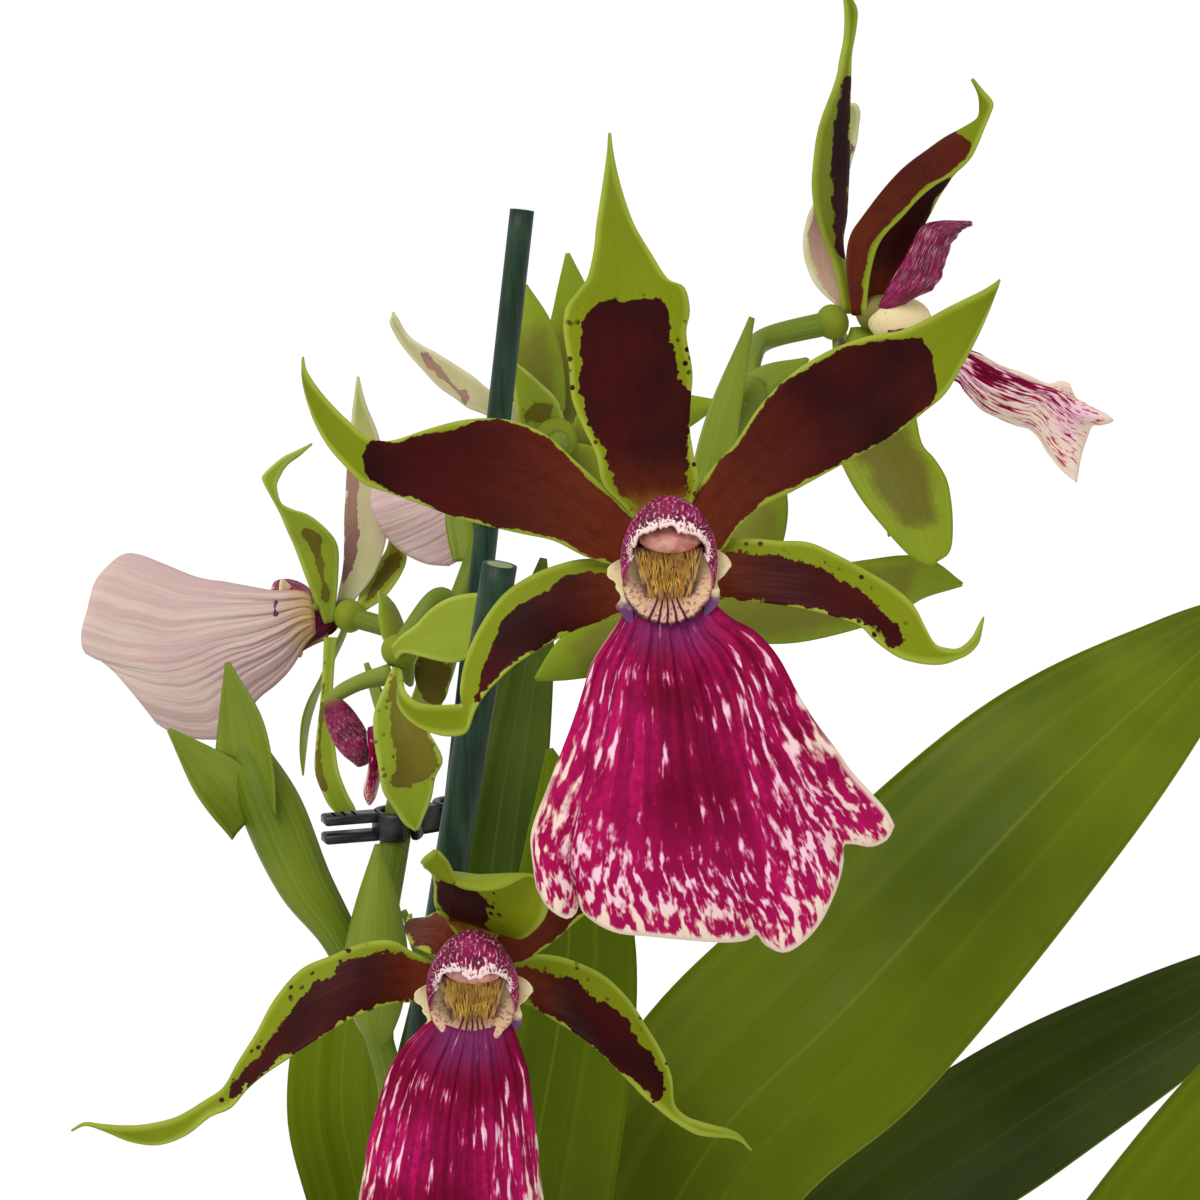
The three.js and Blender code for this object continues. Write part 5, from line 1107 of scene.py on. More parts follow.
            tepal((0, 1, 0), 5, 0.2, [0, 0, 0], [[3, 1, 5], [7, 3, 11], [10, 6, 17], [11.6, 9, 24]]),
            tepal((0, 0.9, 0.4), 5, 0.2, [0, 0, 0], [[-4, -0.4, -3.6], [-7.6, 1, -9], [-10.6, 4, -15],
                [-12, 7, -22]]),
        ],
        "lip": {
            "face": (0.1, 0.9, 0.4),
            "wave": 0.6,
            "rows": [
                [3.55, 8, -8, 6.4, 0],
                [4.8, 9, -15, 10.4, 0],
                [5.9, 9, -22, 12.0, 0],
                [6.5, 8, -27, 7.2, 0],
            ],
        },
    },
}


def bloom_turn(bloom):
    """Turns the column's own frame, which looks along -Y, into the bloom's"""
    forward = Vector(bloom["aim"]).normalized()
    up = Vector(bloom["crown"])
    up = (up - forward * up.dot(forward)).normalized()
    right = up.cross(forward)
    turn = Matrix((right, -forward, up)).transposed().to_4x4()
    return turn @ Matrix.Rotation(math.radians(bloom.get("tilt", 0)), 4, "X")


def bloom_place(bloom):
    return Matrix.Translation(bloom["at"]) @ Matrix.Rotation(VIEW_PITCH, 4, "X")


def drawn_sheet(form, leaf, fine, number):
    """A sepal or petal between its two drawn edges, with the fields that its colours follow"""
    rows = leaf["stations"]
    steps, columns = 4 * (len(rows) - 1), 12 * fine
    middle = [((a + c) / 2, (b + d) / 2) for a, b, c, d, _, _ in rows]
    length = sum(math.dist(a, b) for a, b in zip(middle, middle[1:]))
    grid, half = [], []
    fields = {name: [] for name in ("along", "across", "inside", "foot", "edge")}
    for j in range(steps + 1):
        t = j / steps
        x_minus, z_minus, x_plus, z_plus, margin_minus, margin_plus = along(rows, t)
        y = value_along(leaf["depth"], t)
        width = math.dist((x_minus, z_minus), (x_plus, z_plus))
        swing = width / 2 * math.tan(math.radians(value_along(leaf["lean"], t)))
        minus, plus = Vector((x_minus, y - swing, z_minus)), Vector((x_plus, y + swing, z_plus))
        ahead, behind = along(rows, t + 0.01), along(rows, t - 0.01)
        run = Vector((ahead[0] + ahead[2] - behind[0] - behind[2], 0, ahead[1] + ahead[3] - behind[1] - behind[3]))
        face = (plus - minus).cross(run)
        face = face.normalized() if face.length > 1e-6 else Vector((0, -1, 0))
        new_row(grid, half, *fields.values())
        for i in range(columns + 1):
            s = -1 + 2 * i / columns
            bend = math.sqrt(s * s + 0.02) - 0.14
            lift = width / 2 * leaf["fold"] * bend
            ripple = 0.3 * noise.noise(Vector((t * 6 + number * 7, s * 1.4, number))) * ease(0.1, 0.35, t)
            grid[-1].append(minus.lerp(plus, (1 + s) / 2) + face * (lift + ripple * s * s))
            half[-1].append(TEPAL_THICK / 2 * (1 - 0.72 * abs(s) ** 3) * (1 - 0.6 * ease(0.85, 1, t)))
            reach = min((1 + s) / 2 * width - margin_minus, (1 - s) / 2 * width - margin_plus)
            note(fields, inside=min(reach, (leaf["end"] - t) * length - leaf["round_end"] * s * s), along=t,
                across=s, edge=(1 - abs(s)) * width / 2, foot=ease(leaf["foot"], 0.04, t))
    skin, sides = leaf.get("skin", 0), leaf.get("sides", (0.0, 1.0))
    form.layer(grid, half, skin, sides=sides, tone=leaf["golden"], rim=leaf["ragged"], **fields)


def keeled_sheet(form, leaf, fine):
    """A sepal or petal folded sharply about its keel, seen from the side"""
    rows = leaf["keeled"]
    steps, columns = 4 * (len(rows) - 1), 14 * fine
    length = sum(math.dist(a[2:4], b[2:4]) for a, b in zip(rows, rows[1:]))
    grid, half = [], []
    fields = {name: [] for name in ("along", "across", "inside", "foot", "edge")}
    for j in range(steps + 1):
        t = j / steps
        x0, z0, x1, z1, x2, z2 = along(rows, t)
        y0, y1, y2 = (value_along(line, t) for line in leaf["depths"])
        near, keel, far = Vector((x0, y0, z0)), Vector((x1, y1, z1)), Vector((x2, y2, z2))
        wide_near, wide_far = (near - keel).length, (far - keel).length
        new_row(grid, half, *fields.values())
        for i in range(columns + 1):
            s = -1 + 2 * i / columns
            toward = (math.sqrt(s * s + 0.03) - s) / 2
            away = (math.sqrt(s * s + 0.03) + s) / 2
            grid[-1].append(keel + (near - keel) * (toward * 0.993) + (far - keel) * (away * 0.993))
            half[-1].append(TEPAL_THICK / 2 * (1 - 0.72 * abs(s) ** 3) * (1 - 0.6 * ease(0.85, 1, t)))
            edge = (1 - abs(s)) * (wide_near if s < 0 else wide_far)
            margin = leaf["margins"][0 if s < 0 else 1]
            note(fields, inside=min(edge - margin, (leaf["end"] - t) * length - 1.5 * s * s), along=t, across=s,
                edge=edge, foot=ease(leaf["foot"], 0.04, t) if s > 0 else 0.4 + 0.3 * ease(0.5, 0.2, t))
    form.layer(grid, half, sides=ALIKE, rim=0.35, **fields)


def tepal_sheet(form, leaf, hub, fine, number):
    """A sepal or petal about its middle line"""
    if "stations" in leaf:
        drawn_sheet(form, leaf, fine, number)
        return
    if "keeled" in leaf:
        keeled_sheet(form, leaf, fine)
        return
    first = Vector(leaf["points"][0])
    root = hub + (first - hub).normalized() * ROOT_DEPTH
    spine = [list(root)] + leaf["points"]
    steps, columns = 30 * fine, 12 * fine
    length = sum((Vector(b) - Vector(a)).length for a, b in zip(spine, spine[1:]))
    grid, half = [], []
    fields = {name: [] for name in ("along", "across", "inside", "foot", "edge")}
    for j in range(steps + 1):
        t = j / steps
        point = Vector(along(spine, t))
        twist = value_along(leaf["turns"], t)
        side, normal = frame_at(spine, t, leaf["face"], twist)
        wide = max(value_along(EVEN, t) * leaf["half"], 0.3)
        new_row(grid, half, *fields.values())
        for i in range(columns + 1):
            s = -1 + 2 * i / columns
            bend = math.sqrt(s * s + 0.02) - 0.14
            lift = wide * (0.05 * s * s + leaf["fold"] * bend)
            ripple = 0.35 * noise.noise(Vector((t * 5 + number * 7, s * 1.5, number)))
            grid[-1].append(point + side * (wide * s) + normal * (lift + ripple * s * s * ease(0.05, 0.3, t)))
            half[-1].append(TEPAL_THICK / 2 * (1 - 0.72 * abs(s) ** 3) * (1 - 0.6 * ease(0.85, 1, t)))
            note(fields, inside=min((1 - abs(s)) * wide - 1.1, (0.78 - t) * length), edge=(1 - abs(s)) * wide,
                along=t, across=s, foot=ease(0.4, 0.1, t))
    form.layer(grid, half, rim=1.0, **fields)


def tepals_piece(name, bloom):
    turn = bloom_turn(bloom)
    hub = turn @ Vector(HUB_AT)
    form = Form()
    for number, leaf in enumerate(bloom["tepals"]):
        tepal_sheet(form, leaf, hub, bloom["fine"], number)
    size = bloom.get("hub", 1)
    form.ball(HUB_AT, [v * size for v in HUB_HALF], 12, 18, place=turn, back=1.0)
    finish = TEPAL if bloom["skin"] == "TEPAL" else REAR_TEPAL
    return form.piece(f"bloom_{name}_tepals", [finish, BLUSHED], bloom_place(bloom))


def lip_rarity(u, v):
    """How rare the white is at a place on the lip, from 2 for hardly any to -0.5 for over half of it"""
    side = abs(2 * u - 0.92)
    upper = 2.2 - 1.15 * ease(0.15, 0.6, side) * ease(0.08, 0.3, v)
    share = ease(0.45, 0.98, v + 0.2 * ease(0.2, 0.95, side))
    lower = 0.2 - 0.7 * ease(0.93, 1, v) + 0.4 * ease(0.84, 0.95, u)
    return upper + (lower - upper) * share


def drawn_lip(form, lip, fine):
    """The lip between its drawn neck, sides and front; its lines fan out as the veins do"""
    neck, left, front, right = (paced(lip[k]) for k in ("neck", "left", "front", "right"))
    steps, columns = 34 * fine, 44 * fine
    ruffle = lip["ruffle"]
    slope = lip.get("slope", (0, 0))
    grid, half = [], []
    fields = {name: [] for name in ("along", "across", "rim", "tone", "inside")}
    for j in range(steps + 1):
        v = j / steps
        l, r = Vector(left(v)), Vector(right(v))
        depth = value_along(lip["depth"], v)
        new_row(grid, half, *fields.values())
        for i in range(columns + 1):
            u = i / columns
            n, f = Vector(neck(u)), Vector(front(u))
            corners = Vector(neck(0)).lerp(Vector(neck(1)), u).lerp(Vector(front(0)).lerp(Vector(front(1)), u), v)
            x, z = l.lerp(r, u) + n.lerp(f, v) - corners
            k = next((k for k in range(len(ruffle) - 2) if ruffle[k + 1][0] >= u), len(ruffle) - 2)
            (u0, a), (u1, b) = ruffle[k], ruffle[k + 1]
            wave = a + (b - a) * ease(u0, u1, u)
            y = depth - lip["bulge"] * (1 - (2 * u - 1) ** 2) * math.sin(math.pi * min(0.08 + 0.8 * v, 1))
            y += wave * ease(0.55, 1, v) ** 1.5 + slope[0] * x + slope[1] * z
            y += 0.25 * math.cos(44 * (u - 0.48)) * ease(0.6, 0.1, v) * ease(0, 0.1, v)
            grid[-1].append(Vector((x, y, z)))
            width = (r - l).length
            edge = min(u * width, (1 - u) * width) + 6 * ease(0.6, 0.2, v)
            edge = min(edge, (1 - v) * 34)
            half[-1].append(LIP_THICK / 2 * (1 - 0.7 * ease(1.2, 0, edge)))
            note(fields, along=v, across=2 * u - 1, rim=edge, tone=lip_rarity(u, v) - lip.get("paler",
                0) * ease(0.05, 0.35, v), inside=ease(0.42, 0.08, abs(2 * u - 0.96)) * ease(0.1, 0.3,
                v) * ease(0.95, 0.75, v))
    form.layer(grid, half, turned=lip.get("turned", True), **fields)


def lip_sheet(form, bloom, fine):
    """A lip about its middle line"""
    lip = bloom["lip"]
    if "neck" in lip:
        drawn_lip(form, lip, fine)
        return
    neck = bloom_turn(bloom) @ Vector(NECK_AT)
    rows = [[*neck, NECK_HALF, 0.2]] + lip["rows"]
    steps, columns = 30 * fine, 24 * fine
    grid, thick = [], []
    fields = {name: [] for name in ("along", "across", "rim", "tone", "inside")}
    for j in range(steps + 1):
        t = j / steps
        x, y, z, wide, cup = along(rows, t)
        side, normal = frame_at([row[:3] for row in rows], t, Vector(lip["face"]))
        new_row(grid, thick, *fields.values())
        for i in range(columns + 1):
            s = -1 + 2 * i / columns
            frill = 0.9 * noise.noise(Vector((s * 4.2, 3.1, 0.7))) + 0.5 * noise.noise(Vector((s * 9, 1.1, 4)))
            wave = lip["wave"] * math.sin(5 * math.pi * t) * s * abs(s)
            lift = wide * cup * s * s + wave + frill * ease(0.7, 1, t)
            grid[-1].append(Vector((x, y, z)) + side * (wide * s) + normal * lift)
            edge = min((1 - abs(s)) * wide + 6 * ease(0.5, 0.1, t), (1 - t) * 34)
            thick[-1].append(LIP_THICK / 2 * (1 - 0.7 * ease(1.2, 0, edge)))
            note(fields, along=t, across=s, rim=edge, tone=lip_rarity((1 + s) / 2, t),
                inside=ease(0.4, 0.1, abs(s)) * ease(0.1, 0.3, t) * ease(0.95, 0.75, t))
    form.layer(grid, thick, **fields)


CALLUS_SWEEP = 122


def callus_body(form, turn, fine, skin):
    """A cup-shaped collar round the throat, its lower rim standing forward over the lip"""
    columns, rings = 36 * fine, 12 * fine
    front, back = [], []
    for j in range(rings + 1):
        r = j / rings
        new_row(front, back)
        for i in range(columns + 1):
            s = -1 + 2 * i / columns
            phi = math.radians(CALLUS_SWEEP) * s
            bottom = ease(1.0, 0.1, abs(s))
            reach = 1.5 + 3.55 * min(r / 0.86, 1) ** 0.9 + 0.35 * ease(0.86, 1, r)
            reach *= 1 + 0.03 * noise.noise(Vector((s * 9, 2, 5))) * r
            ridge = 0.3 * math.cos(66 * s) * ease(0.3, 0.14, abs(s)) * math.sin(math.pi * r)
            tooth = 0.3 * math.cos(40 * s) * ease(0.4, 0.2, abs(s)) * ease(0.5, 0.9, r)
            cup = ease(0.0, 0.82, r) * (1.1 + 2.0 * bottom)
            roll = (0.7 + 0.8 * bottom) * ease(0.84, 1.0, r)
            y = -4.6 - cup - ridge - tooth + roll
            p = Vector((-0.15 + reach * math.sin(phi), y, 0.5 - reach * math.cos(phi) * 1.04))
            front[-1].append(p)
            back[-1].append(Vector((p.x * 0.9, -3.7, p.z * 0.9)))
    form.sheet(front, back, skin, turn, **even_fields(rings, columns))


def lip_piece(name, bloom):
    form = Form()
    lip_sheet(form, bloom, bloom["fine"])
    if name in ("a", "b", "f", "g"):
        callus_body(form, bloom_turn(bloom), bloom["fine"], 1)
    return form.piece(f"bloom_{name}_lip", [LIP, CALLUS], bloom_place(bloom))


HOOD_SWEEP = 110
# The hood from the ovary to its front edge: y, base, half width and top
HOOD_ROWS = [
    [-0.4, 0.2, 3.1, 3.8],
    [-3.2, 0.6, 3.9, 6.4],
    [-5.2, 1, 4.7, 8.3],
    [-7, 1.5, 5.2, 9.2],
    [-8.4, 2.0, 5.35, 9.0],
    [-9.4, 2.6, 5.15, 8.1],
    [-9.9, 3.0, 4.7, 6.9],
    [-10.1, 3.3, 4.2, 5.7],
]


def hood_sheet(form, fine, turn, beak):
    rows, columns = 16 * fine, 24 * fine
    front, back = [], []
    grids = {"along": [], "across": [], "rim": []}
    for j in range(rows + 1):
        t = j / rows
        y, base, half, top = along(HOOD_ROWS, t)
        fields = {name: [] for name in grids}
        new_row(front, back)
        for i in range(columns + 1):
            s = -1 + 2 * i / columns
            phi = math.radians(HOOD_SWEEP) * s
            y_here = y + 2.4 * ease(0.35, 1, abs(s)) * t
            jag = 0.7 * noise.noise(Vector((s * 7, 0.4, 2))) + 0.4 * noise.noise(Vector((s * 19, 1, 6)))
            jag *= ease(0.86, 1, t)
            drop = beak * math.exp(-((s / 0.16) ** 2)) * ease(0.72, 1, t)
            thin = 0.6 - 0.38 * t
            out = Vector((half * math.sin(phi), y_here, base + (top - base) * math.cos(phi) - jag - drop))
            high = base + (top - base - thin) * math.cos(phi) - jag - drop
            inner = Vector(((half - thin) * math.sin(phi), y_here + 0.25 * t, high))
            front[-1].append(out)
            back[-1].append(inner)
            fields["along"].append(t)
            fields["across"].append(s)
            fields["rim"].append((1 - t) * 8)
        for name, row in fields.items():
            grids[name].append(row)
    form.sheet(front, back, 0, turn, **grids)


def throat_sheet(form, fine, turn):
    """The hollow underside of the column, which the hood roofs"""
    rows, columns = 10 * fine, 10 * fine
    front, back = [], []
    for j in range(rows + 1):
        t = j / rows
        half = 3.9 - 1.5 * t
        new_row(front, back)
        for i in range(columns + 1):
            s = -1 + 2 * i / columns
            p = Vector((-0.1 + half * s, -6.2 - 1.2 * s * s + 1.3 * t, 3.6 - 6.0 * t))
            front[-1].append(p)
            back[-1].append(p + Vector((0, 0.8, 0)))
    form.sheet(front, back, 2, turn, **even_fields(rows, columns))


def wing_sheets(form, fine, turn):
    """Cream ears at both sides of the throat"""
    rows, columns = 12 * fine, 6 * fine
    for way in (-1, 1):
        front, back, grid = [], [], []
        for j in range(rows + 1):
            t = j / rows
            new_row(front, back)
            for i in range(columns + 1):
                s = i / columns
                bulge = value_along([0.1, 0.85, 1.0, 0.72, 0.5, 0.62, 0.45, 0.0], t)
                frill = 0.5 * noise.noise(Vector((t * 9, way * 3, 1))) * s * math.sin(math.pi * t)
                x = way * (3.9 + (2.9 * bulge + frill) * s)
                z = 3.3 - 8.0 * t + 0.5 * way
                y = -5.4 - 0.9 * s * (1 - t) - 0.8 * t
                front[-1].append(Vector((x, y, z)))
                back[-1].append(Vector((x, y + 0.55 - 0.3 * s, z)))
            grid.append([t] * (columns + 1))
        form.sheet(front, back, 3, turn, along=grid)


def folded_hood(form, hood, fine):
    """A hood seen from its side, drawn between its two edges, pale at its torn front"""
    rows, columns = 6 * len(hood["stations"]) * fine, 10 * fine
    grid, half = [], []
    fields = {"along": [], "across": [], "rim": []}
    for j in range(rows + 1):
        t = j / rows
        x0, z0, x1, z1 = along(hood["stations"], t)
        y = value_along(hood["depth"], t)
        width = math.dist((x0, z0), (x1, z1))
        new_row(grid, half, *fields.values())
        for i in range(columns + 1):
            s = i / columns
            jag = 0.35 * noise.noise(Vector((t * 16, 3, 1))) * ease(0.7, 1, s)
            bow = 0.3 * width * math.sin(math.pi * s)
            grid[-1].append(Vector((x0 + (x1 - x0) * s + jag, y - bow, z0 + (z1 - z0) * s)))
            half[-1].append(0.35)
            note(fields, along=0.3 + 0.6 * t, across=2 * s - 1, rim=1.1 + 1.6 * min((1 - s) * width, (1 - t) * 10))
    form.layer(grid, half, sides=ALIKE, turned=True, **fields)


def column_piece(name, bloom):
    turn = bloom_turn(bloom)
    form = Form()
    fine = bloom["fine"]
    if "petal_hood" in bloom:
        folded_hood(form, bloom["petal_hood"], fine)
        form.ball((4.8, -1.8, -0.2), (4.2, 2.6, 3.1), 16, 24, skin=3, along=0.3)
        form.tube([[0, 0, 0.6, 2.2, 2], [2, -1, 1.2, 2.4, 2], [4.2, -1.6, 1.4, 2.2, 1.6]], sides=18, steps=10,
            face=Vector((0, 0, 1)), skin=0, rim=9.0, along=0.1)
        return form.piece(f"bloom_{name}_column", [HOOD, ANTHER, THROAT, WING], bloom_place(bloom))
    if "drop_hood" in bloom:
        form.tube(bloom["drop_hood"], sides=24, steps=30, skin=0, rim=9.0)
        form.tube([[0, 0, 0.4, 1.6, 1.6], [-4, 0, -0.6, 1.2, 1.2], [-7, 0, -2, 1.1, 1.1],
            [-8.7, 0, -3.4, 0.9, 0.9]], sides=16, steps=12, skin=0, rim=9.0, along=0.02)
        return form.piece(f"bloom_{name}_column", [HOOD], bloom_place(bloom))
    hood_sheet(form, fine, turn, bloom.get("beak", 0))
    form.tube(
        [[0, 0, 1, 3.1, 2.7], [0, -2.4, 2.6, 3.4, 2.8], [0, -4.4, 4, 3.4, 2.2], [0, -6, 5, 2.6, 1.2]],
        sides=18, steps=10, face=Vector((0, 0, 1)), place=turn, skin=0, rim=9.0, along=0.3,
    )
    form.ball((0.15, -7.4, 4.5), (3.5, 1.7, 1.6), 10, 20, skin=1, place=turn)
    throat_sheet(form, fine, turn)
    wing_sheets(form, fine, turn)
    return form.piece(f"bloom_{name}_column", [HOOD, ANTHER, THROAT, WING], bloom_place(bloom))


# Geometry Nodes


def tree_inputs(tree, **inputs):
    """Adds named inputs and gives each one's identifier"""
    identifiers = {}
    for name, (kind, value) in inputs.items():
        socket = tree.interface.new_socket(name, in_out="INPUT", socket_type=kind)
        socket.default_value = value
        identifiers[name] = socket.identifier
    return identifiers


def grown(base, tree, identifiers, name, **values):
    """The tree's result on base, as a plain piece; base itself is taken away"""
    modifier = base.modifiers.new(name, "NODES")
    modifier.node_group = tree
    for key, value in values.items():
        modifier[identifiers[key]] = value
    graph = bpy.context.evaluated_depsgraph_get()
    mesh = bpy.data.meshes.new_from_object(base.evaluated_get(graph))
    mesh.name = name
    made = bpy.data.objects.new(name, mesh)
    bpy.context.scene.collection.objects.link(made)
    bpy.data.objects.remove(base)
    return made


def chips_tree():
    """Bark chips strewn over a surface, roughened by a draw with a fixed seed"""
    tree = bpy.data.node_groups.new("strewn_bark_chips", "GeometryNodeTree")
    tree.interface.new_socket("Geometry", in_out="INPUT", socket_type="NodeSocketGeometry")
    names = tree_inputs(
        tree,
        density=("NodeSocketFloat", 9000.0),
        spacing=("NodeSocketFloat", 0.0065),
        chip=("NodeSocketVector", (0.015, 0.0085, 0.004)),
        roughness=("NodeSocketFloat", 0.0012),
        seed=("NodeSocketInt", 4),
    )
    tree.interface.new_socket("Geometry", in_out="OUTPUT", socket_type="NodeSocketGeometry")
    new, link = tree.nodes.new, tree.links.new
    given, result = new("NodeGroupInput"), new("NodeGroupOutput")
    scatter = new("GeometryNodeDistributePointsOnFaces")
    scatter.distribute_method = "POISSON"
    link(given.outputs["Geometry"], scatter.inputs["Mesh"])
    link(given.outputs["spacing"], scatter.inputs["Distance Min"])
    link(given.outputs["density"], scatter.inputs["Density Max"])
    link(given.outputs["seed"], scatter.inputs["Seed"])
    block = new("GeometryNodeMeshCube")
    for axis, count in zip("XYZ", (5, 4, 3)):
        block.inputs[f"Vertices {axis}"].default_value = count
    link(given.outputs["chip"], block.inputs["Size"])
    turn = new("FunctionNodeRandomValue")
    turn.data_type = "FLOAT_VECTOR"
    turn.inputs["Min"].default_value = (-0.5, -0.45, 0)
    turn.inputs["Max"].default_value = (0.5, 0.45, 6.283)
    link(given.outputs["seed"], turn.inputs["Seed"])
    size = new("FunctionNodeRandomValue")
    size.data_type = "FLOAT_VECTOR"
    size.inputs["Min"].default_value = (0.6, 0.7, 0.7)
    size.inputs["Max"].default_value = (1.15, 1.15, 1.3)
    link(given.outputs["seed"], size.inputs["Seed"])
    strew = new("GeometryNodeInstanceOnPoints")
    link(scatter.outputs["Points"], strew.inputs["Points"])
    link(block.outputs["Mesh"], strew.inputs["Instance"])
    link(turn.outputs["Value"], strew.inputs["Rotation"])
    link(size.outputs["Value"], strew.inputs["Scale"])
    real = new("GeometryNodeRealizeInstances")
    link(strew.outputs["Instances"], real.inputs["Geometry"])
    wear = new("ShaderNodeTexNoise")
    wear.inputs["Scale"].default_value = 230
    wear.inputs["Detail"].default_value = 2
    centred = new("ShaderNodeVectorMath")
    centred.operation = "SUBTRACT"
    centred.inputs[1].default_value = (0.5, 0.5, 0.5)
    link(wear.outputs["Color"], centred.inputs[0])
    scaled = new("ShaderNodeVectorMath")
    scaled.operation = "SCALE"
    link(centred.outputs[0], scaled.inputs[0])
    doubled = new("ShaderNodeMath")
    doubled.operation = "MULTIPLY"
    doubled.inputs[1].default_value = 4
    link(given.outputs["roughness"], doubled.inputs[0])
    link(doubled.outputs[0], scaled.inputs["Scale"])
    rough = new("GeometryNodeSetPosition")
    link(real.outputs["Geometry"], rough.inputs["Geometry"])
    link(scaled.outputs[0], rough.inputs["Offset"])
    finish = new("GeometryNodeSetMaterial")
    finish.inputs["Material"].default_value = BARK
    link(rough.outputs["Geometry"], finish.inputs["Geometry"])
    link(finish.outputs["Geometry"], result.inputs["Geometry"])
    return tree, names


def bristles_tree():
    """Short bristles that stand on a surface and lean the given way"""
    tree = bpy.data.node_groups.new("throat_bristles", "GeometryNodeTree")
    tree.interface.new_socket("Geometry", in_out="INPUT", socket_type="NodeSocketGeometry")
    names = tree_inputs(
        tree,
        spacing=("NodeSocketFloat", 0.00019),
        density=("NodeSocketFloat", 9000000.0),
        length=("NodeSocketFloat", 0.0014),
        radius=("NodeSocketFloat", 0.00008),
        lean=("NodeSocketVector", (0.0, -0.45, -1.0)),
        seed=("NodeSocketInt", 2),
    )
    tree.interface.new_socket("Geometry", in_out="OUTPUT", socket_type="NodeSocketGeometry")
    new, link = tree.nodes.new, tree.links.new
    given, result = new("NodeGroupInput"), new("NodeGroupOutput")
    scatter = new("GeometryNodeDistributePointsOnFaces")
    scatter.distribute_method = "POISSON"
    link(given.outputs["Geometry"], scatter.inputs["Mesh"])
    link(given.outputs["spacing"], scatter.inputs["Distance Min"])
    link(given.outputs["density"], scatter.inputs["Density Max"])
    link(given.outputs["seed"], scatter.inputs["Seed"])
    spike = new("GeometryNodeMeshCone")
    spike.inputs["Vertices"].default_value = 4
    link(given.outputs["length"], spike.inputs["Depth"])
    link(given.outputs["radius"], spike.inputs["Radius Bottom"])
    spread = new("FunctionNodeRandomValue")
    spread.data_type = "FLOAT_VECTOR"
    spread.inputs["Min"].default_value = (-0.25, -0.15, 0)
    spread.inputs["Max"].default_value = (0.25, 0.15, 0.2)
    link(given.outputs["seed"], spread.inputs["Seed"])
    way = new("ShaderNodeVectorMath")
    way.operation = "ADD"
    link(given.outputs["lean"], way.inputs[0])
    link(spread.outputs["Value"], way.inputs[1])
    turn = new("FunctionNodeAlignRotationToVector")
    turn.axis = "Z"
    link(way.outputs[0], turn.inputs["Vector"])
    stand = new("GeometryNodeInstanceOnPoints")
    link(scatter.outputs["Points"], stand.inputs["Points"])
    link(spike.outputs["Mesh"], stand.inputs["Instance"])
    link(turn.outputs["Rotation"], stand.inputs["Rotation"])
    real = new("GeometryNodeRealizeInstances")
    link(stand.outputs["Instances"], real.inputs["Geometry"])
    finish = new("GeometryNodeSetMaterial")
    finish.inputs["Material"].default_value = BRISTLE
    link(real.outputs["Geometry"], finish.inputs["Geometry"])
    link(finish.outputs["Geometry"], result.inputs["Geometry"])
    return tree, names


def bristles_piece(name, bloom, tree, names):
    """Bristles in the throat of a bloom that looks at the camera"""
    turn = bloom_turn(bloom)
    form = Form()
    front = []
    for j in range(9):
        t = j / 8
        half = 3.5 - 2.1 * t
        row = []
        for i in range(9):
            s = -1 + 2 * i / 8
            row.append(Vector((-0.1 + half * s, -6.6 - 1.0 * s * s + 1.2 * t, 3.4 - 4.6 * t)))
        front.append(row)
    points = [p for row in front for p in row]
    faces = [(j * 9 + i, j * 9 + i + 1, j * 9 + i + 10, j * 9 + i + 9) for j in range(8) for i in range(8)]
    form.add(points, faces, place=turn)
    base = form.piece(f"bloom_{name}_bristle_base", [BRISTLE], bloom_place(bloom))
    aim = bloom_place(bloom).to_3x3() @ turn.to_3x3() @ Vector((0.0, -0.5, -1.0))
    return grown(base, tree, names, f"bloom_{name}_bristles", lean=tuple(aim))


# Leaves: rows of x, y, z, half width, twist and cup

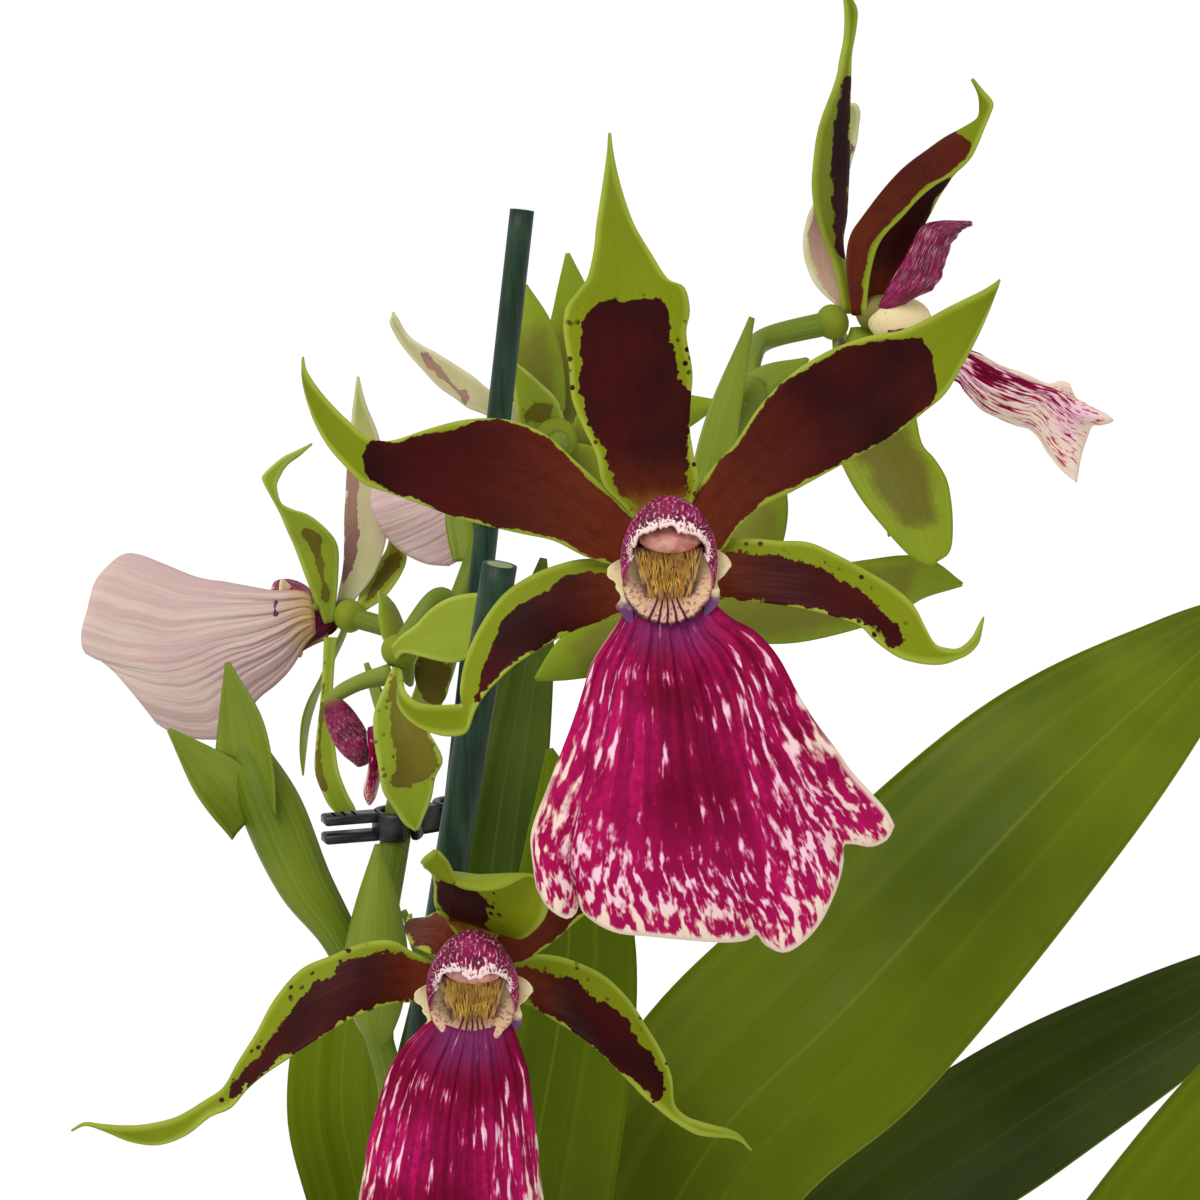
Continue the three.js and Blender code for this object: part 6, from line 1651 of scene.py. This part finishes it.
LEAF_FOLD = 0.22
LEAF_THICK = 0.9
LEAVES = {
    "leaf_1": {
        "face": (-0.55, -0.75, 0.35),
        "rows": [[24, 5.5, 152.5, 4, 0, 0.2], [32, 11, 200, 9, 0, 0.08], [50, 20, 255, 14.5, 0, 0.05],
            [76, 30, 308, 19.5, 0, 0.02], [100, 41, 331, 21.5, 0, 0], [131, 52, 362, 17.5, 0, 0],
            [154, 61, 381, 8.5, 0, 0], [167, 67, 391, 0.5, 0, 0]],
    },
    "leaf_2": {
        "face": (-0.35, -0.45, 0.8),
        "rows": [[27.6, 7.6, 152.5, 3.4, 0, 0.2], [44, 28, 200, 9, 0, 0.1], [68, 45, 246, 13, 0, 0.08],
            [98, 56, 284, 15.5, 0, 0.05], [128, 62, 305, 15.5, 0, 0], [152, 66, 319, 12, 0, 0],
            [172, 69, 331, 6, 0, 0], [184, 71, 340, 0.5, 0, 0]],
    },
    "leaf_3": {
        "face": (-0.6, -0.5, 0.6),
        "rows": [[33, -23.2, 147.6, 4, 0, 0.2], [55, -27, 200, 9, 0, 0.1], [88, -30, 248, 14, 0, 0.08],
            [121, -33, 290, 17, 0, 0.05], [145, -37, 329, 15.5, 0, 0], [162, -41, 357, 10, 0, 0],
            [173, -45, 376, 4.5, 0, 0], [178, -47, 386, 0.5, 0, 0]],
    },
    "leaf_4": {
        "face": (-0.1, -0.98, 0.1),
        "rows": [[-9, 7.9, 156.6, 3.4, 0, 0.2], [4, 8, 210, 8, 0, 0.08], [22, 7, 262, 10.5, 0, 0.05],
            [36, 6, 305, 10.5, 0, 0], [43.5, 7, 340, 8.5, 0, 0], [48, 11, 370, 6.5, 0, 0],
            [52, 15, 392, 3.6, 0, 0], [54, 17, 404, 0.5, 0, 0]],
    },
    "leaf_5": {
        "face": (0.1, -0.98, 0.1),
        "rows": [[-8.5, 4.4, 156.9, 4, 0, 0.2], [10, -3, 205, 8, 0, 0.1], [32, -7, 250, 10.5, 0, 0.08],
            [46, -9, 290, 11.5, 0, 0.05], [53, -9, 325, 11.5, 0, 0], [57.5, -6, 352, 9.5, 0, 0],
            [57, -3, 370, 5, 0, 0], [55, 0, 380, 0.5, 0, 0]],
    },
    "leaf_6": {
        "face": (0, -0.85, 0.5),
        "rows": [[-10, 0.6, 156.6, 3.6, 0, 0.2], [0, -8, 205, 6.5, 0, 0.1], [18, -14, 258, 7, 0, 0.08],
            [29.4, -16, 306, 6.4, 0, 0.05], [26.8, -17, 333, 7.4, 0, 0], [27.4, -10, 346, 6, 0, 0],
            [27, 3, 343, 3.4, 0, 0], [24, 14, 334, 0.5, 0, 0]],
    },
}
ARCHING = [
    ("leaf_7", "bulb_4", 196, 205, 128, 40, 17),
    ("leaf_8", "bulb_4", 264, 165, 118, 52, 15),
    ("leaf_9", "bulb_5", 166, 190, 158, 30, 16),
    ("leaf_10", "bulb_5", 92, 150, 98, 34, 15),
    ("leaf_11", "bulb_2", 287, 150, 112, 50, 14),
    ("leaf_12", "bulb_6", 250, 150, 105, 44, 14),
]
ARCH = [[0, 0, 0.22], [0.1, 0.36, 0.55], [0.26, 0.7, 0.88], [0.46, 0.93, 1], [0.68, 1, 0.93],
    [0.87, 0.92, 0.55], [1, 0.78, 0.035]]
ARCH_FOOT = 3.2
BULB_FOOT = 84
BULBS = {
    "bulb_1": ((24, 7), 12.5, 152),
    "bulb_2": ((32, -25), 11, 147),
    "bulb_3": ((-9, 4), 12, 156),
    "bulb_4": ((-34, -14), 11, 149),
    "bulb_5": ((-31, 22), 11, 145),
    "bulb_6": ((-13, -39), 10, 141),
}
BULB_SHAPE = [[0, 0.62], [0.16, 0.9], [0.4, 1], [0.66, 0.88], [0.86, 0.64], [1, 0.42]]


def strap_sheet(form, rows, face, fold, thick, steps, columns, tone=0.0, keel=0.3):
    """A strap leaf or bract: folded about its midrib, with a keel behind"""
    face = Vector(face)
    line = [row[:3] for row in rows]
    front, back = [], []
    for j in range(steps + 1):
        t = j / steps
        x, y, z, half, twist, cup = along(rows, t)
        side, normal = frame_at(line, t, face, twist)
        new_row(front, back)
        for i in range(columns + 1):
            s = -1 + 2 * i / columns
            lift = half * (cup * s * s + fold * (math.sqrt(s * s + 0.004) - 0.06))
            pleat = 0.16 * math.cos(s * 15.7) * (1 - s * s) * min(half / 10, 1)
            wander = 0.5 * noise.noise(Vector((t * 3, s, tone * 9 + len(rows)))) * s * s
            p = Vector((x, y, z)) + side * (half * s) + normal * (lift + pleat + wander)
            body = thick / 2 * (1 - 0.6 * s * s)
            rib = keel * ease(0.12, 0.0, abs(s)) * ease(1, 0.8, t)
            front[-1].append(p + normal * (body - 0.4 * rib))
            back[-1].append(p - normal * (body + rib))
    form.sheet(front, back, tone=tone, **even_fields(steps, columns))


def arching_rows(bulb, heading, reach, rise, drop, half):
    (x, y), _, top = BULBS[bulb]
    out = math.radians(heading)
    rows = []
    for i, (far, high, wide) in enumerate(ARCH):
        r = ARCH_FOOT + far * reach
        sag = 0.6 * drop * max(0, (i - 3) / 3) ** 2
        z = top + 0.6 + high * rise - sag
        rows.append([x + r * math.cos(out), y + r * math.sin(out), z, half * wide, 0, 0.08])
    return rows


def leaf_pieces():
    for name, leaf in LEAVES.items():
        form = Form()
        strap_sheet(form, leaf["rows"], leaf["face"], LEAF_FOLD, LEAF_THICK, 90, 28, 0.1 * int(name[5:]))
        finish = DEEP_LEAF if name in ("leaf_2", "leaf_4") else LEAF
        settle(form.piece(f"strap_{name}", [finish]), "leaf", name)
    for number, (name, bulb, heading, reach, rise, drop, half) in enumerate(ARCHING):
        form = Form()
        out = math.radians(heading)
        face = (-0.15 * math.cos(out), -0.15 * math.sin(out), 1)
        rows = arching_rows(bulb, heading, reach, rise, drop, half)
        strap_sheet(form, rows, face, LEAF_FOLD, LEAF_THICK, 70, 24, 0.1 * number)
        finish = DEEP_LEAF if number % 2 else LEAF
        settle(form.piece(f"strap_{name}", [finish]), "leaf", name)


def bulb_pieces():
    for number, (name, ((x, y), radius, top)) in enumerate(BULBS.items()):
        height = top - BULB_FOOT
        rows = [[x, y, BULB_FOOT + up * height, wide * radius, wide * radius * 0.88] for up, wide in BULB_SHAPE]

        def ribbed(t, turn, number=number):
            return 0.985 + 0.018 * math.cos(9 * turn + number) * ease(0, 0.3, t) * ease(1, 0.85, t)

        form = Form()
        form.tube(rows, 40, 36, swell=ribbed)
        for k in range(3):
            turn = 2.1 * k + 0.7 * number
            out = Vector((math.cos(turn), math.sin(turn), 0))
            tall = height * (0.42 + 0.1 * k)
            sheath = []
            for up in (0.16, 0.4, 0.7, 1.0):
                _, wide = along(BULB_SHAPE, up * tall / height)
                r = wide * radius * (0.94 + 0.05 * up) + 0.2
                p = Vector((x, y, 0)) + out * r
                sheath.append([p.x, p.y, BULB_FOOT + 14 + up * (tall - 14), radius * 0.6 * (1.05 - 0.9 * up**3),
                    0, -0.42])
            strap_layer(form, sheath, out)
        settle(form.piece(f"pseudo{name}", [BULB, SHEATH]), "bulb", name)


def strap_layer(form, rows, face):
    """A thin dry sheath that bends round its bulb"""
    steps, columns = 14, 10
    line = [row[:3] for row in rows]
    front, back = [], []
    for j in range(steps + 1):
        t = j / steps
        x, y, z, half, twist, cup = along(rows, t)
        side, normal = frame_at(line, t, face, twist)
        new_row(front, back)
        for i in range(columns + 1):
            s = -1 + 2 * i / columns
            tear = 0.8 * noise.noise(Vector((s * 3, x, y))) * ease(0.7, 1, t)
            p = Vector((x, y, z + tear)) + side * (half * s) + normal * (half * cup * s * s)
            front[-1].append(p + normal * 0.15)
            back[-1].append(p - normal * 0.15)
    form.sheet(front, back, 1, **even_fields(steps, columns))


# Flower spikes: rows of x, y, z and radius; bracts as leaves

SPIKES = {
    "spike_front": {
        "stem": [[5, -20, 80, 3], [8, -21, 112, 3.1], [23, -27, 200, 3], [36.5, -31, 285, 2.7],
            [45, -37, 346, 2.4], [57, -45, 376, 2.1], [65, -48, 398, 1.9], [75, -41, 421, 1.8],
            [82, -33, 435, 1.6]],
        "pedicels": [
            ("b", [[45, -37, 347, 1.4], [47, -46, 353, 1.4], [48, -60, 361, 1.7]]),
            ("g", [[64, -47.6, 395, 1.4], [66, -42, 398, 1.4], [71, -34, 400, 1.6]]),
            ("a", [[66, -48, 400, 1.4], [67.4, -58, 406, 1.4], [69.4, -74, 414, 1.7]]),
            ("c", [[81, -34, 433.6, 1.5], [81.4, -28, 437.4, 1.5], [83.8, -21.6, 439.4, 1.5]]),
        ],
        "bracts": [
            ((1, 0.4, 0.3), [[43, -36.4, 346, 2.6, 0, 0.8], [40, -38, 356, 3, 0, 0.6],
                [36.6, -38.6, 367, 0.3, 0, 0.2]]),
            ((0.8, 0.6, 0), [[73, -42, 418, 2.6, 0, 0.8], [75.6, -41.6, 430, 3.2, 0, 0.6],
                [81, -40, 444, 0.3, 0, 0.2]]),
            ((-0.5, 0.8, 0), [[78.4, -37, 428, 2.4, 0, 0.8], [84, -33.6, 434, 3, 0, 0.6],
                [88.6, -30, 437.6, 0.3, 0, 0.2]]),
        ],
        "buds": [],
    },
    "spike_rear": {
        "stem": [[-10, 26, 80, 3], [-9, 26, 112, 3.1], [4, 28, 200, 2.9], [18, 30, 285, 2.6],
            [30, 33, 350, 2.3], [34.5, 41, 374, 2.1], [42.4, 51.5, 396, 1.8], [47, 55, 409, 1.5]],
        "pedicels": [
            ("e", [[33.8, 39.6, 371, 1.4], [39, 35, 384, 1.4], [40.6, 28, 393.6, 1.4], [38.4, 23.6, 397, 1.5]]),
            ("d", [[35, 42, 376, 1.4], [35.4, 48.4, 381, 1.4], [32, 55.4, 385.6, 1.5]]),
            ("f", [[46.6, 54.6, 408, 1.5], [50.8, 51.6, 412.6, 1.4], [55.6, 50.8, 416, 1.5]]),
        ],
        "bracts": [
            ((1, 0, 0.3), [[32.4, 38, 366, 2.6, 0, 0.8], [29.6, 40, 375, 3, 0, 0.6], [27, 42, 384, 0.3, 0, 0.2]]),
            ((-0.6, -0.6, 0), [[43, 52.6, 398, 2.4, 0, 0.8], [42, 56, 406, 2.8, 0, 0.6],
                [42.6, 58.6, 415, 0.3, 0, 0.2]]),
        ],
        "buds": [],
    },
    "spike_young": {
        "stem": [[10, -37, 80, 2.4], [11, -37, 112, 2.5], [19, -40, 200, 2.4], [28, -42, 285, 2.1],
            [35, -43.6, 335, 1.9], [33.6, -44.6, 352, 1.8], [29, -43.6, 364, 2.4], [24, -42.4, 372, 3.6],
            [20, -41, 381, 4], [17, -40, 388, 2.6], [16, -39.6, 392, 0.9]],
        "pedicels": [],
        "bracts": [
            ((-0.5, -0.8, 0.2), [[19, -42, 381, 4, 0, 0.6], [17.6, -42, 390, 4.2, 0, 0.4],
                [14.6, -40, 400, 0.3, 0, 0.1]]),
            ((0.2, -0.9, 0.4), [[17, -42, 379.6, 3.6, 0, 0.6], [13, -42.4, 385, 3.4, 0, 0.4],
                [7, -41, 391.4, 0.3, 0, 0.1]]),
        ],
        "buds": [[[33.6, -44.8, 351, 1.2], [33.4, -46, 356, 3.3], [33.5, -46.8, 363, 4.1],
            [33.7, -46.4, 370, 2.8], [33.8, -46, 377.6, 0.4]]],
    },
}
PEDICEL_TIP = 1.6


def hub_point(bloom):
    return bloom_place(bloom) @ (bloom_turn(bloom) @ Vector(HUB_AT))


def spike_pieces():
    for name, spike in SPIKES.items():
        form = Form()
        form.tube(spike["stem"], 18, 16 * (len(spike["stem"]) - 1), tone=0.0)
        for letter, rows in spike["pedicels"]:
            end = hub_point(BLOOMS[letter])
            form.tube(rows + [[*end, PEDICEL_TIP]], 14, 30, tone=0.6)
            node = rows[0]
            form.ball(node[:3], (2.4, 2.4, 2.2), 10, 16, tone=0.3)
        for rows in spike["buds"]:
            form.tube(rows, 22, 28, tone=0.8)
        for face, rows in spike["bracts"]:
            strap_sheet(form, rows, face, 0.1, 0.8, 24, 14, 0.9, 0.25)
        settle(form.piece(f"flower_{name}", [STEM]), "stem", name)


# Stakes and clips

STAKES = {
    "stake_front": ((-14, -12, 30), (49.2, -35.4, 411.8), 2.35),
    "stake_rear": ((2, 18, 30), (50.5, 47.7, 451.2), 1.9),
}
CLIPS = {
    "clip_1": ("stake_rear", "spike_rear", 361, (-1, -0.35)),
    "clip_2": ("stake_front", "spike_front", 312, (0.2, 1)),
    "clip_3": ("stake_rear", "spike_rear", 240, (-1, -0.2)),
}
CLIP_HEIGHT = 4.2
CLIP_WALL = 1.3
CLIP_GAP = 0.35
CLIP_MOUTH = 0.5
TAB_LENGTH = 12
TAB_WIDTH = 3.2
TAB_THICK = 1.4
TAB_REACH = 5.5


def stake_pieces():
    for number, (name, (foot, top, radius)) in enumerate(STAKES.items()):
        low, high = Vector(foot), Vector(top)
        rows = []
        for k in range(12):
            p = low.lerp(high, k / 11)
            rows.append([*p, radius * 0.985])

        def cane(t, turn, number=number):
            knot = max(0, 1 - abs((t * 5.3 + 0.4 * number) % 1 - 0.5) * 40)
            return 0.97 + 0.012 * math.cos(5 * turn + 9 * t) + 0.02 * knot

        form = Form()
        form.tube(rows, 28, 120, swell=cane)
        across = (high - low).normalized()
        turn = across.to_track_quat("Z", "Y").to_matrix().to_4x4()
        form.ball((0, 0, 0), (radius * 0.9, radius * 0.9, 0.25), 4, 24,
            place=Matrix.Translation(high - across * 0.12) @ turn, tone=0.85)
        settle(form.piece(f"plant_{name}", [STAKE]), "stake", name)


def at_height(rows, height):
    low, high = 0.0, 1.0
    for _ in range(30):
        middle = (low + high) / 2
        if along(rows, middle)[2] < height:
            low = middle
        else:
            high = middle
    return along(rows, low)


def ring_body(form, x, y, z, inner, outer, height, gap, way):
    """An open spring ring with its mouth at way"""
    steps = 40
    mouth = gap / 2
    points, faces = [], []
    for k in range(steps + 1):
        turn = way + mouth + (2 * math.pi - gap) * k / steps
        c, s = math.cos(turn), math.sin(turn)
        for r, up in ((inner, -0.42), (inner, 0.42), (inner + 0.25, 0.5), (outer - 0.3, 0.5), (outer, 0.38),
            (outer, -0.38), (outer - 0.3, -0.5), (inner + 0.25, -0.5)):
            points.append(Vector((x + r * c, y + r * s, z + up * height)))
    for k in range(steps):
        for i in range(8):
            a, b = k * 8, (k + 1) * 8
            faces.append((a + i, b + i, b + (i + 1) % 8, a + (i + 1) % 8))
    faces.append(list(range(7, -1, -1)))
    faces.append([steps * 8 + i for i in range(8)])
    form.add(points, faces)


def slab(form, at, length, width, thick, heading, taper=1.0):
    """A small bevelled block that lies along heading"""
    c, s = math.cos(heading), math.sin(heading)
    bevel = 0.28
    outline = []
    for sx, sy in ((-1, -1), (1, -1), (1, 1), (-1, 1)):
        w = width / 2 * (taper if sx > 0 else 1.0)
        cut = [(sx * (length / 2 - bevel), sy * w), (sx * length / 2, sy * (w - bevel))]
        outline += cut if sx * sy < 0 else cut[::-1]
    points, faces = [], []
    for z, shrink in ((-0.5, 0.2), (-0.5 + 0.18, 0), (0.5 - 0.18, 0), (0.5, 0.2)):
        for u, v in outline:
            u, v = u - math.copysign(shrink, u), v - math.copysign(shrink, v)
            points.append(Vector((at[0] + u * c - v * s, at[1] + u * s + v * c, at[2] + z * thick)))
    n = len(outline)
    for j in range(3):
        for i in range(n):
            faces.append((j * n + i, j * n + (i + 1) % n, (j + 1) * n + (i + 1) % n, (j + 1) * n + i))
    faces.append(list(range(n - 1, -1, -1)))
    faces.append([3 * n + i for i in range(n)])
    form.add(points, faces)


def clip_pieces():
    for name, (stake, spike, height, tabs) in CLIPS.items():
        foot, top, radius = STAKES[stake]
        on_stake = at_height([list(foot), list(top)], height)
        on_stem = at_height(SPIKES[spike]["stem"], height)
        form = Form()
        gap = Vector(on_stem[:2]) - Vector(on_stake[:2])
        heading = math.atan2(gap.y, gap.x)
        for point, inner, way in ((on_stake, radius, heading + math.pi),
            (on_stem, on_stem[3], heading + math.pi / 2)):
            ring_body(form, point[0], point[1], height, inner + CLIP_GAP, inner + CLIP_GAP + CLIP_WALL,
                CLIP_HEIGHT, CLIP_MOUTH, way)
        reach = (radius + on_stem[3]) / 2 + CLIP_GAP + CLIP_WALL / 2
        middle = (Vector(on_stem[:2]) + Vector(on_stake[:2])) / 2
        bridge = max(gap.length - 2 * reach + 1.6, 1.2)
        slab(form, (middle.x, middle.y, height), bridge, 2.8, CLIP_HEIGHT * 0.96, heading)
        way = math.atan2(tabs[1], tabs[0])
        out = Vector((math.cos(way), math.sin(way)))
        start = on_stem[3] + CLIP_GAP + 0.4
        length = TAB_REACH + TAB_LENGTH / 2 - start
        for end in (-1, 1):
            z = height + end * (CLIP_HEIGHT - TAB_THICK) / 2
            far = start + length / 2
            slab(form, (on_stem[0] + out.x * far, on_stem[1] + out.y * far, z), length, TAB_WIDTH, TAB_THICK, way)
            for k in range(3):
                far = start + length * (0.45 + 0.18 * k)
                slab(form, (on_stem[0] + out.x * far, on_stem[1] + out.y * far, z + end * 0.05), 0.6,
                    TAB_WIDTH * 0.9, TAB_THICK, way)
        settle(form.piece(f"spring_{name}", [CLIP]), "clip", name)


# Pot and bark

POT_HEIGHT = 110
POT_BASE_RADIUS = 44
POT_TOP_RADIUS = 58.5
POT_WALL = 1.8
POT_FLOOR = 3
RIM_RADIUS = 61.5
RIM_HEIGHT = 15
DRAIN_HOLES = 6
DRAIN_RADIUS = 4
DRAIN_RING = 31
BARK_LEVEL = 97


def pot_inside(z):
    return POT_BASE_RADIUS - POT_WALL + (POT_TOP_RADIUS - POT_BASE_RADIUS) * z / POT_HEIGHT


def lathe_body(form, profile, segments, skin=0):
    """A closed turned body; the profile starts and ends on the axis"""
    points, faces = [Vector((0, 0, profile[0][1]))], []
    inner = profile[1:-1]
    for r, z in inner:
        for i in range(segments):
            turn = 2 * math.pi * i / segments
            points.append(Vector((r * math.cos(turn), r * math.sin(turn), z)))
    points.append(Vector((0, 0, profile[-1][1])))
    last = len(points) - 1
    for i in range(segments):
        k = (i + 1) % segments
        faces.append((0, 1 + k, 1 + i))
        for j in range(len(inner) - 1):
            a, b = 1 + j * segments, 1 + (j + 1) * segments
            faces.append((a + i, a + k, b + k, b + i))
        a = 1 + (len(inner) - 1) * segments
        faces.append((a + i, a + k, last))
    form.add(points, faces, skin)


def pot_piece():
    rim_foot = POT_HEIGHT - RIM_HEIGHT
    wall = pot_inside(rim_foot) + POT_WALL
    profile = [(0, 1.2), (24, 1.2), (25, 0.2), (25.4, 0), (POT_BASE_RADIUS - 2, 0)]
    profile += [(POT_BASE_RADIUS - 0.6, 0.6), (POT_BASE_RADIUS, 2)]
    for k in range(1, 9):
        z = 2 + (rim_foot - 2) * k / 8
        profile.append((POT_BASE_RADIUS + (wall - POT_BASE_RADIUS) * k / 8, z))
    profile += [(RIM_RADIUS - 1.4, rim_foot + 0.1)]
    profile += [(RIM_RADIUS - 0.7, rim_foot + 0.8), (RIM_RADIUS - 0.5, rim_foot + 2)]
    profile += [(RIM_RADIUS, POT_HEIGHT - 1.2), (RIM_RADIUS - 0.2, POT_HEIGHT - 0.4), (RIM_RADIUS - 0.8, POT_HEIGHT)]
    profile += [(pot_inside(POT_HEIGHT) + 0.7, POT_HEIGHT), (pot_inside(POT_HEIGHT) + 0.1, POT_HEIGHT - 0.5)]
    for k in range(1, 9):
        z = POT_HEIGHT - (POT_HEIGHT - POT_FLOOR) * k / 8
        profile.append((pot_inside(z), z))
    profile += [(20, POT_FLOOR), (0, POT_FLOOR)]
    form = Form()
    lathe_body(form, profile, 144)
    pot = form.piece("plastic_pot", [POT])
    drill = Form()
    for k in range(DRAIN_HOLES):
        turn = 2 * math.pi * (k + 0.5) / DRAIN_HOLES
        x, y = DRAIN_RING * math.cos(turn), DRAIN_RING * math.sin(turn)
        drill.tube([[x, y, -4, DRAIN_RADIUS], [x, y, 8, DRAIN_RADIUS]], 32, 1)
    bits = drill.piece("drain_drills", [POT])
    cut = pot.modifiers.new("drains", "BOOLEAN")
    cut.operation = "DIFFERENCE"
    cut.solver = "EXACT"
    cut.object = bits
    graph = bpy.context.evaluated_depsgraph_get()
    mesh = bpy.data.meshes.new_from_object(pot.evaluated_get(graph))
    pot.modifiers.clear()
    pot.data = mesh
    bpy.data.objects.remove(bits)
    settle(pot, "pot", "pot")


def bark_pieces():
    """A rough bed of bark and the chips that lie on it"""
    edge = pot_inside(BARK_LEVEL) - 0.5
    floor = POT_FLOOR + 0.5
    profile = [(0, floor), (pot_inside(floor) - 0.5, floor)]
    profile += [(edge - 0.2, BARK_LEVEL - 3), (edge - 1.5, BARK_LEVEL - 1)]
    profile += [(edge * k / 10, BARK_LEVEL - 0.6 + 1.4 * (1 - k / 10)) for k in range(9, 0, -1)]
    profile.append((0, BARK_LEVEL + 1))
    form = Form()
    lathe_body(form, profile, 72)
    bed = form.piece("bark_bed", [BARK])
    settle(bed, "bark", "bark")
    top = Form()
    rings, spokes = 8, 40
    points, faces = [Vector((0, 0, BARK_LEVEL + 1))], []
    for j in range(1, rings + 1):
        for i in range(spokes):
            turn = 2 * math.pi * i / spokes
            r = (edge - 7) * j / rings
            points.append(Vector((r * math.cos(turn), r * math.sin(turn),
                BARK_LEVEL + 1 + 1.2 * noise.noise(Vector((r * 0.1, turn, 3))))))
    for i in range(spokes):
        k = (i + 1) % spokes
        faces.append((0, 1 + i, 1 + k))
        for j in range(rings - 1):
            a, b = 1 + j * spokes, 1 + (j + 1) * spokes
            faces.append((a + i, b + i, b + k, a + k))
    top.add(points, faces)
    base = top.piece("chip_bed", [BARK])
    tree, names = chips_tree()
    chips = grown(base, tree, names, "bark_chips")
    settle(chips, "bark")


def build():
    pot_piece()
    bark_pieces()
    bulb_pieces()
    leaf_pieces()
    stake_pieces()
    spike_pieces()
    clip_pieces()
    tree, names = bristles_tree()
    for name, bloom in BLOOMS.items():
        settle(tepals_piece(name, bloom), "tepal", f"tepals_{name}")
        settle(lip_piece(name, bloom), "lip", f"lip_{name}")
        settle(column_piece(name, bloom), "column", f"column_{name}")
        if name in ("a", "b"):
            settle(bristles_piece(name, bloom, tree, names), "column")


# Floor, light and camera

FLOOR_RADIUS = 90000
FLOOR_SIDES = 64
DAYLIGHT_FROM = (-0.4, -0.6, 0.85)
DAYLIGHT_STRENGTH = 1.75
DAYLIGHT_WIDTH = 32
ROOM_STRENGTH = 0.7
CAMERA_AT = (0.062, -0.509, 0.4907)
CAMERA_PITCH = 80
CAMERA_LENS = 112.5
CAMERA_SENSOR = 36


def stage():
    form = Form()
    points, faces = [Vector((0, 0, 0))], []
    for i in range(FLOOR_SIDES):
        turn = 2 * math.pi * i / FLOOR_SIDES
        points.append(Vector((FLOOR_RADIUS * math.cos(turn), FLOOR_RADIUS * math.sin(turn), 0)))
        faces.append((0, 1 + i, 1 + (i + 1) % FLOOR_SIDES))
    form.add(points, faces)
    floor = form.piece("pale_floor", [floor_finish()])


def daylight(name, source, strength, spread):
    """A broad, far light that comes from source; spread is its width in degrees"""
    light = bpy.data.lights.new(name, "SUN")
    light.energy = strength
    light.angle = math.radians(spread)
    made = bpy.data.objects.new(name, light)
    made.location = Vector(source) * 2
    made.rotation_euler = (-Vector(source)).to_track_quat("-Z", "Y").to_euler()
    bpy.context.scene.collection.objects.link(made)


def lights():
    world = bpy.data.worlds.new("studio")
    bpy.context.scene.world = world
    world.use_nodes = True
    background = world.node_tree.nodes["Background"]
    background.inputs["Color"].default_value = (1.0, 1.0, 1.0, 1)
    background.inputs["Strength"].default_value = ROOM_STRENGTH
    daylight("wide_daylight", DAYLIGHT_FROM, DAYLIGHT_STRENGTH, DAYLIGHT_WIDTH)


def camera():
    lens = bpy.data.cameras.new("camera")
    lens.sensor_width = CAMERA_SENSOR
    lens.lens = CAMERA_LENS
    lens.clip_start, lens.clip_end = 0.02, 200
    made = bpy.data.objects.new("camera", lens)
    made.location = CAMERA_AT
    made.rotation_euler = (math.radians(CAMERA_PITCH), 0, 0)
    bpy.context.scene.collection.objects.link(made)
    bpy.context.scene.camera = made


build()
stage()
lights()
camera()
bpy.context.scene.view_settings.view_transform = "Standard"
